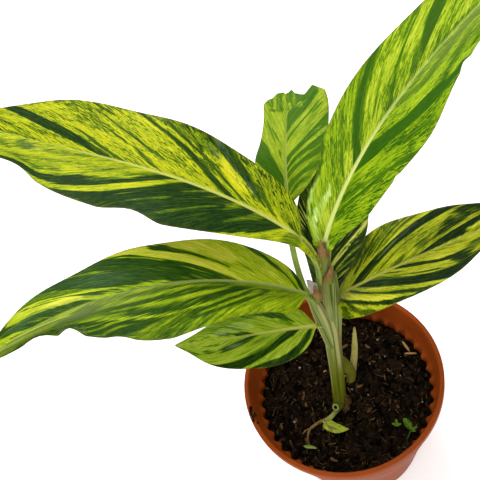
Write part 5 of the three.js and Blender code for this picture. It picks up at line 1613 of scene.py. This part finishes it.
sheath = stem_shader()
for strand_number, strand_form in enumerate(STRANDS, 1):
    make_strand(f"sheath_{strand_number}", strand_form, sheath)
make_ligules()
make_membrane()
make_cut_stub()
make_rhizome()


# Small growth at the foot


def on_soil(x, y, lift):
    return x, y, soil_bump(x, y) + lift


def shoot_shader(name, low, high, line):
    shader = Shader(name)
    place = shader.position()
    stripe = shader.noise(place, (1500, 1500, 60), 2, 0.6)
    cloud = shader.noise(place, 180, 2, 0.5)
    base = shader.mix(shader.remap(shader.attribute("rise"), 0.1, 0.6), low, high)
    base = shader.mix(shader.remap(stripe, 0.5, 0.68, 0, 0.5), base, line)
    base = shader.mix(shader.remap(cloud, 0.5, 0.8, 0, 0.3), base, low)
    base = shader.mix(shader.remap(shader.attribute("rise"), 0.93, 1.0, 0, 0.7), base, (150, 120, 70))
    shader.surface_set(Base_Color=base, Roughness=0.5, IOR=1.22)
    shader.bump(stripe, 0.0002)
    return shader.material


def make_shoot():
    def sheathed(turn, u):
        behind = (np.degrees(turn) - lerp(300, 240, u)) % 360 / 360
        return (0.3 * (1 - behind) ** 2 + 0.03 * np.cos(19 * turn)) * (1 - smoothstep(0.8, 1, u))

    spear = shoot_shader("shoot", (106, 100, 30), (166, 158, 88), (132, 132, 58))
    make_tube(
        "new_shoot", spear, "new_shoot", "stem", 1,
        [(4.6, -0.2, 85), (7.4, 1.4, 91.5), (10.1, 3, 101), (12.6, 4.3, 111), (16.3, 6.8, 133.6)],
        (1.8, 2.1, 2.05, 2.0, 1.9, 1.6, 0.5), (1.7, 2.0, 1.9, 1.8, 1.7, 1.4, 0.5), 90, 48, sheathed)
    bract = shoot_shader("bract", (80, 84, 16), (112, 112, 34), (66, 74, 12))
    make_tube(
        "shoot_bract", bract, None, "stem", 1,
        [(2.2, 2, 120), (3.6, 1.4, 112), (5, 0.8, 103), (6.4, 0.8, 94), (5.4, -0.4, 87)],
        (0.8, 2.6, 3.3, 3.2, 2.6), (0.8, 2.2, 3.0, 2.8, 2.2), 50, 36, sheathed)


def small_leaf_shader(name, dark, light, dry=None):
    shader = Shader(name)
    veins = shader.uv("veins")
    stripe = shader.noise(veins, (1.6, 0.08, 1), 2, 0.6)
    patch = shader.noise(veins, (0.5, 0.06, 1), 2, 0.5, (3, 1, 2))
    base = shader.ramp(stripe, [(0.3, dark), (0.7, light)])
    base = shader.mix(shader.attribute("rib"), base, light)
    if dry:
        # Here the sheen values mark the leaf's dry brown patch, its own colour, not a sheen.
        torn = shader.plus(shader.attribute("sheen"), shader.times(patch, 0.6))
        base = shader.mix(shader.remap(torn, 0.6, 0.85, 0, 0.9), base, dry)
    base = shader.mix(shader.times(shader.attribute("under"), 0.35), base, (150, 160, 100))
    shader.surface_set(Base_Color=base, Roughness=0.5, IOR=1.22)
    shader.bump(stripe, 0.0002)
    return shader.material


def make_stub_leaf():
    scrap = dict(
        base=(-19.3, -14.1, 75.6), root=(-18.7, -13.7, 75.6), stalk=1.6, length=15.6, spacing=0.2,
        heading=(-62, -42, -12), pitch=(8, 0, -6), twist=(0, 0, 0),
        left=(2.4, 3.2, 3.4, 3.2, 2.8, 2.0, 1.0), right=(3.4, 4.6, 5, 4.8, 4.0, 2.8, 1.4),
        fold=34, droop=0.3, wave=(0.7, 1.5, 0), spread=(2, 2), sweep=1.0)
    material = small_leaf_shader("scrap", (92, 120, 14), (166, 178, 54), (128, 98, 60))
    leaf_mesh("stub_leaf", scrap, material, "stub_leaf")


def make_old_sheath():
    def torn_end(turn, u):
        return 0.35 * smoothstep(0.5, 1, u) * np.cos(2 * turn) + 0.05 * np.cos(15 * turn)

    dry = shoot_shader("old_sheath", (92, 96, 32), (150, 152, 82), (78, 84, 26))
    make_tube(
        "old_sheath", dry, None, "stem", 0.8,
        [(-8.6, -9.6, 75.2), (-11.2, -11.2, 76), (-15, -12.9, 75.8), (-19, -14.3, 75.6)],
        (1.9, 1.4, 1.4, 1.6), (1.5, 1.1, 1.0, 0.9), 40, 32, torn_end)


def make_surface_root():
    def wrinkled(turn, u):
        return 0.07 * np.cos(34 * u) + 0.07 * np.sin(3 * turn + 12 * u) + 0.05 * np.cos(60 * u + turn)

    # Ways as places on the soil and lifts above it, each with its half-widths
    ways = [
        ([(-19.6, -12.2, 0.9), (-24, -12.6, 1.1), (-30.2, -14.4, 0.8), (-34.4, -20.8, 0.3)],
         (1.2, 1, 0.8, 0.6)),
        ([(-28.2, -13.6, 0.9), (-32.4, -13.2, 0.7), (-36.6, -15.2, 0.2)], (0.7, 0.6, 0.3)),
        ([(-20.6, -12.4, 1.4), (-19.2, -14.4, 2.0), (-19.6, -16.8, 1.6)], (0.9, 0.8, 0.3)),
        ([(-33.2, -18.8, 0.4), (-33.6, -21.8, 0.6), (-35.6, -24.2, 0.2)], (0.6, 0.7, 0.6)),
        ([(-19.0, -13.4, 1.6), (-20.4, -16.2, 2.2), (-22.6, -17.4, 1.4)], (0.8, 0.9, 0.4)),
        ([(-18.2, -14.4, 1.6), (-18.8, -17.2, 2.0), (-20.4, -19.4, 1.0)], (0.6, 0.6, 0.2)),
    ]
    items = []
    for way, sizes in ways:
        path = [on_soil(*place) for place in way]
        vertices, faces, _, _ = tube(path, sizes, sizes, 40, 20, wrinkled)
        items.append((vertices, faces, 0.5))
    bark = bark_shader("root_bark", 520, (80, 56, 28), (156, 120, 74), 0.8, 0.0004)
    root = scatter("root_on_soil", items, bark)
    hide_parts("surface_root")


def make_sprout():
    green = small_leaf_shader("seedling", (26, 62, 6), (84, 118, 18))
    stalk = shoot_shader("seedling_stalk", (56, 74, 24), (58, 92, 26), (44, 70, 16))
    make_tube(
        "sprout", stalk, "sprout", "leaf", 0.8,
        [(20.6, -43.6, 70), (21.4, -42.8, 74.5), (23.6, -41.2, 77), (25.6, -39.6, 78)],
        (0.5, 0.45, 0.4, 0.4), (0.5, 0.45, 0.4, 0.4), 30, 12)
    # Each leaf's base, heading, length, half-width and pitches
    leaves = [
        ((25.6, -39.4, 78.1), 100, 7.6, 2.1, (26, 12, -6)),
        ((25.8, -39.6, 78.0), -4, 3.6, 0.7, (20, 8, -20)),
        ((25.4, -39.9, 77.8), -40, 2.6, 0.7, (10, 0, -10)),
        ((19.4, -32.4, 74.2), 70, 3.4, 0.9, (30, 14, -6)),
        ((19.3, -32.5, 74.2), 140, 2.8, 0.8, (24, 6, -6)),
        ((19.6, -32.6, 74.2), -10, 2.6, 0.8, (24, 6, -6)),
    ]
    for number, (base, heading, length, half, pitch) in enumerate(leaves, 1):
        halves = [share * half for share in (0.55, 0.88, 1, 1, 0.95, 0.8, 0.5)]
        blade = dict(
            base=base, root=(base[0] - 0.3, base[1] - 0.4, base[2] - 0.8), stalk=0.45, length=length,
            spacing=0.2, heading=(heading, heading, heading + 12), pitch=pitch, twist=(0, 4, 8),
            left=halves, right=halves, fold=10, droop=0.15, wave=(0.15, 2, 0), spread=(2, 2), sweep=1.0)
        leaf_mesh(f"sprout_leaf_{number}", blade, green, None)


def make_litter(rng, height_at):
    """Bits that stand out on the soil and on the rim."""
    round_points, round_faces = lump_shape()
    slivers = []
    for (x0, y0), (x1, y1), wide, shade in (
            ((46.7, 16.7), (47.8, 7.6), 0.9, 0.9), ((44.1, 8.6), (51.4, 5.2), 0.7, 0.95),
            ((2.0, 9.6), (4.8, 10.6), 1.0, 1.0), ((-7.6, 18.0), (-5.4, 18.6), 0.9, 0.9)):
        middle = np.array([(x0 + x1) / 2, (y0 + y1) / 2])
        length, heading = math.hypot(x1 - x0, y1 - y0) / 2, math.atan2(y1 - y0, x1 - x0)
        shape = round_points * (1 + rng.uniform(-0.12, 0.12, (len(round_points), 1)))
        shape = shape * [length, wide, 0.4] @ np.array(Matrix.Rotation(heading, 3, "Z")).T
        slivers.append((shape + [*middle, height_at(*middle) + 0.5], round_faces, shade))
    scatter("soil_slivers", slivers, soil_shader("sliver", (74, 52, 30), (172, 132, 84), 0.8))
    crumbs = []
    for _ in range(RIM_CRUMBS):
        heading, r = math.radians(180 + rng.normal(0, 3.2)), rng.uniform(56.2, 59.2)
        size = rng.uniform(0.4, 1.3)
        shape = turned(round_points * [size, size * 0.8, size * 0.6], rng)
        crumbs.append((shape + [r * math.cos(heading), r * math.sin(heading), POT_HEIGHT + size * 0.4],
                       round_faces, rng.uniform(0.2, 0.5)))
    scatter("rim_crumbs", crumbs, soil_shader("rim_peat", (9, 6, 4), (62, 44, 30)))
    halves = (0.8, 1.0, 1.1, 1.1, 1.0, 0.8, 0.5)
    strip = dict(
        base=on_soil(-36.5, -22.8, 1.9), root=on_soil(-37.0, -22.5, 1.5), stalk=0.5, length=7.4,
        spacing=0.2, heading=(-30, -32, -36), pitch=(4, 0, -4), twist=(10, 5, 0),
        left=halves, right=halves, fold=20, droop=0.1, wave=(0.1, 1, 0), spread=(1.2, 1.2), sweep=1.0)
    leaf_mesh("leaf_sliver", strip, small_leaf_shader("sliver_leaf", (84, 116, 34), (140, 158, 76)), None)


make_shoot()
make_stub_leaf()
make_old_sheath()
make_surface_root()
make_sprout()
make_litter(soil_rng, soil_height)


# Camera, floor and light

CAMERA_LENS = 52.65
CAMERA_PLACE = (-0.0242, -0.1821, 0.4903)
CAMERA_TILT = 38
CAMERA_ROLL = -22.8
FLOOR_REACH = 6000
LIGHT_TARGET = (0, 0, 0.15)
WORLD_STRENGTH = 0.8

camera_data = bpy.data.cameras.new("camera")
camera_data.lens = CAMERA_LENS
camera_data.sensor_width = 36
camera = bpy.data.objects.new("camera", camera_data)
camera.matrix_world = Matrix.Translation(CAMERA_PLACE) \
    @ Matrix.Rotation(math.radians(CAMERA_TILT), 4, "X") \
    @ Matrix.Rotation(math.radians(CAMERA_ROLL), 4, "Z")
bpy.context.scene.collection.objects.link(camera)
bpy.context.scene.camera = camera

floor_shader = Shader("floor")
floor_tint = floor_shader.noise(floor_shader.position(), 3.0, 2)
floor_shader.surface_set(
    Base_Color=floor_shader.ramp(floor_tint, [(0, (0.93, 0.93, 0.93, 1)), (1, (0.96, 0.96, 0.96, 1))]),
    Roughness=0.9, Emission_Color=(1, 1, 1, 1), Emission_Strength=0.3)
floor_corners = [(FLOOR_REACH * x, FLOOR_REACH * y, 0) for x, y in ((-1, -1), (1, -1), (1, 1), (-1, 1))]
floor = add_mesh("floor", floor_corners, [(0, 1, 2, 3)], floor_shader.material)


def area_light(name, place, size, power):
    light = bpy.data.lights.new(name, "AREA")
    light.shape = "SQUARE"
    light.size = size
    light.energy = power
    obj = bpy.data.objects.new(name, light)
    bpy.context.scene.collection.objects.link(obj)
    obj.location = place
    direction = np.array(LIGHT_TARGET) - np.array(place)
    obj.rotation_mode = "QUATERNION"
    obj.rotation_quaternion = Vector(direction).to_track_quat("-Z", "Y")


area_light("overhead", (-0.2, 0.5, 1.3), 1.0, 12)
area_light("front", (-0.7, -0.9, 0.9), 0.9, 5)
world = bpy.data.worlds.new("studio")
world.use_nodes = True
backdrop = world.node_tree.nodes["Background"]
backdrop.inputs["Color"].default_value = (1, 1, 1, 1)
backdrop.inputs["Strength"].default_value = WORLD_STRENGTH
bpy.context.scene.world = world
bpy.context.scene.view_settings.view_transform = "Standard"
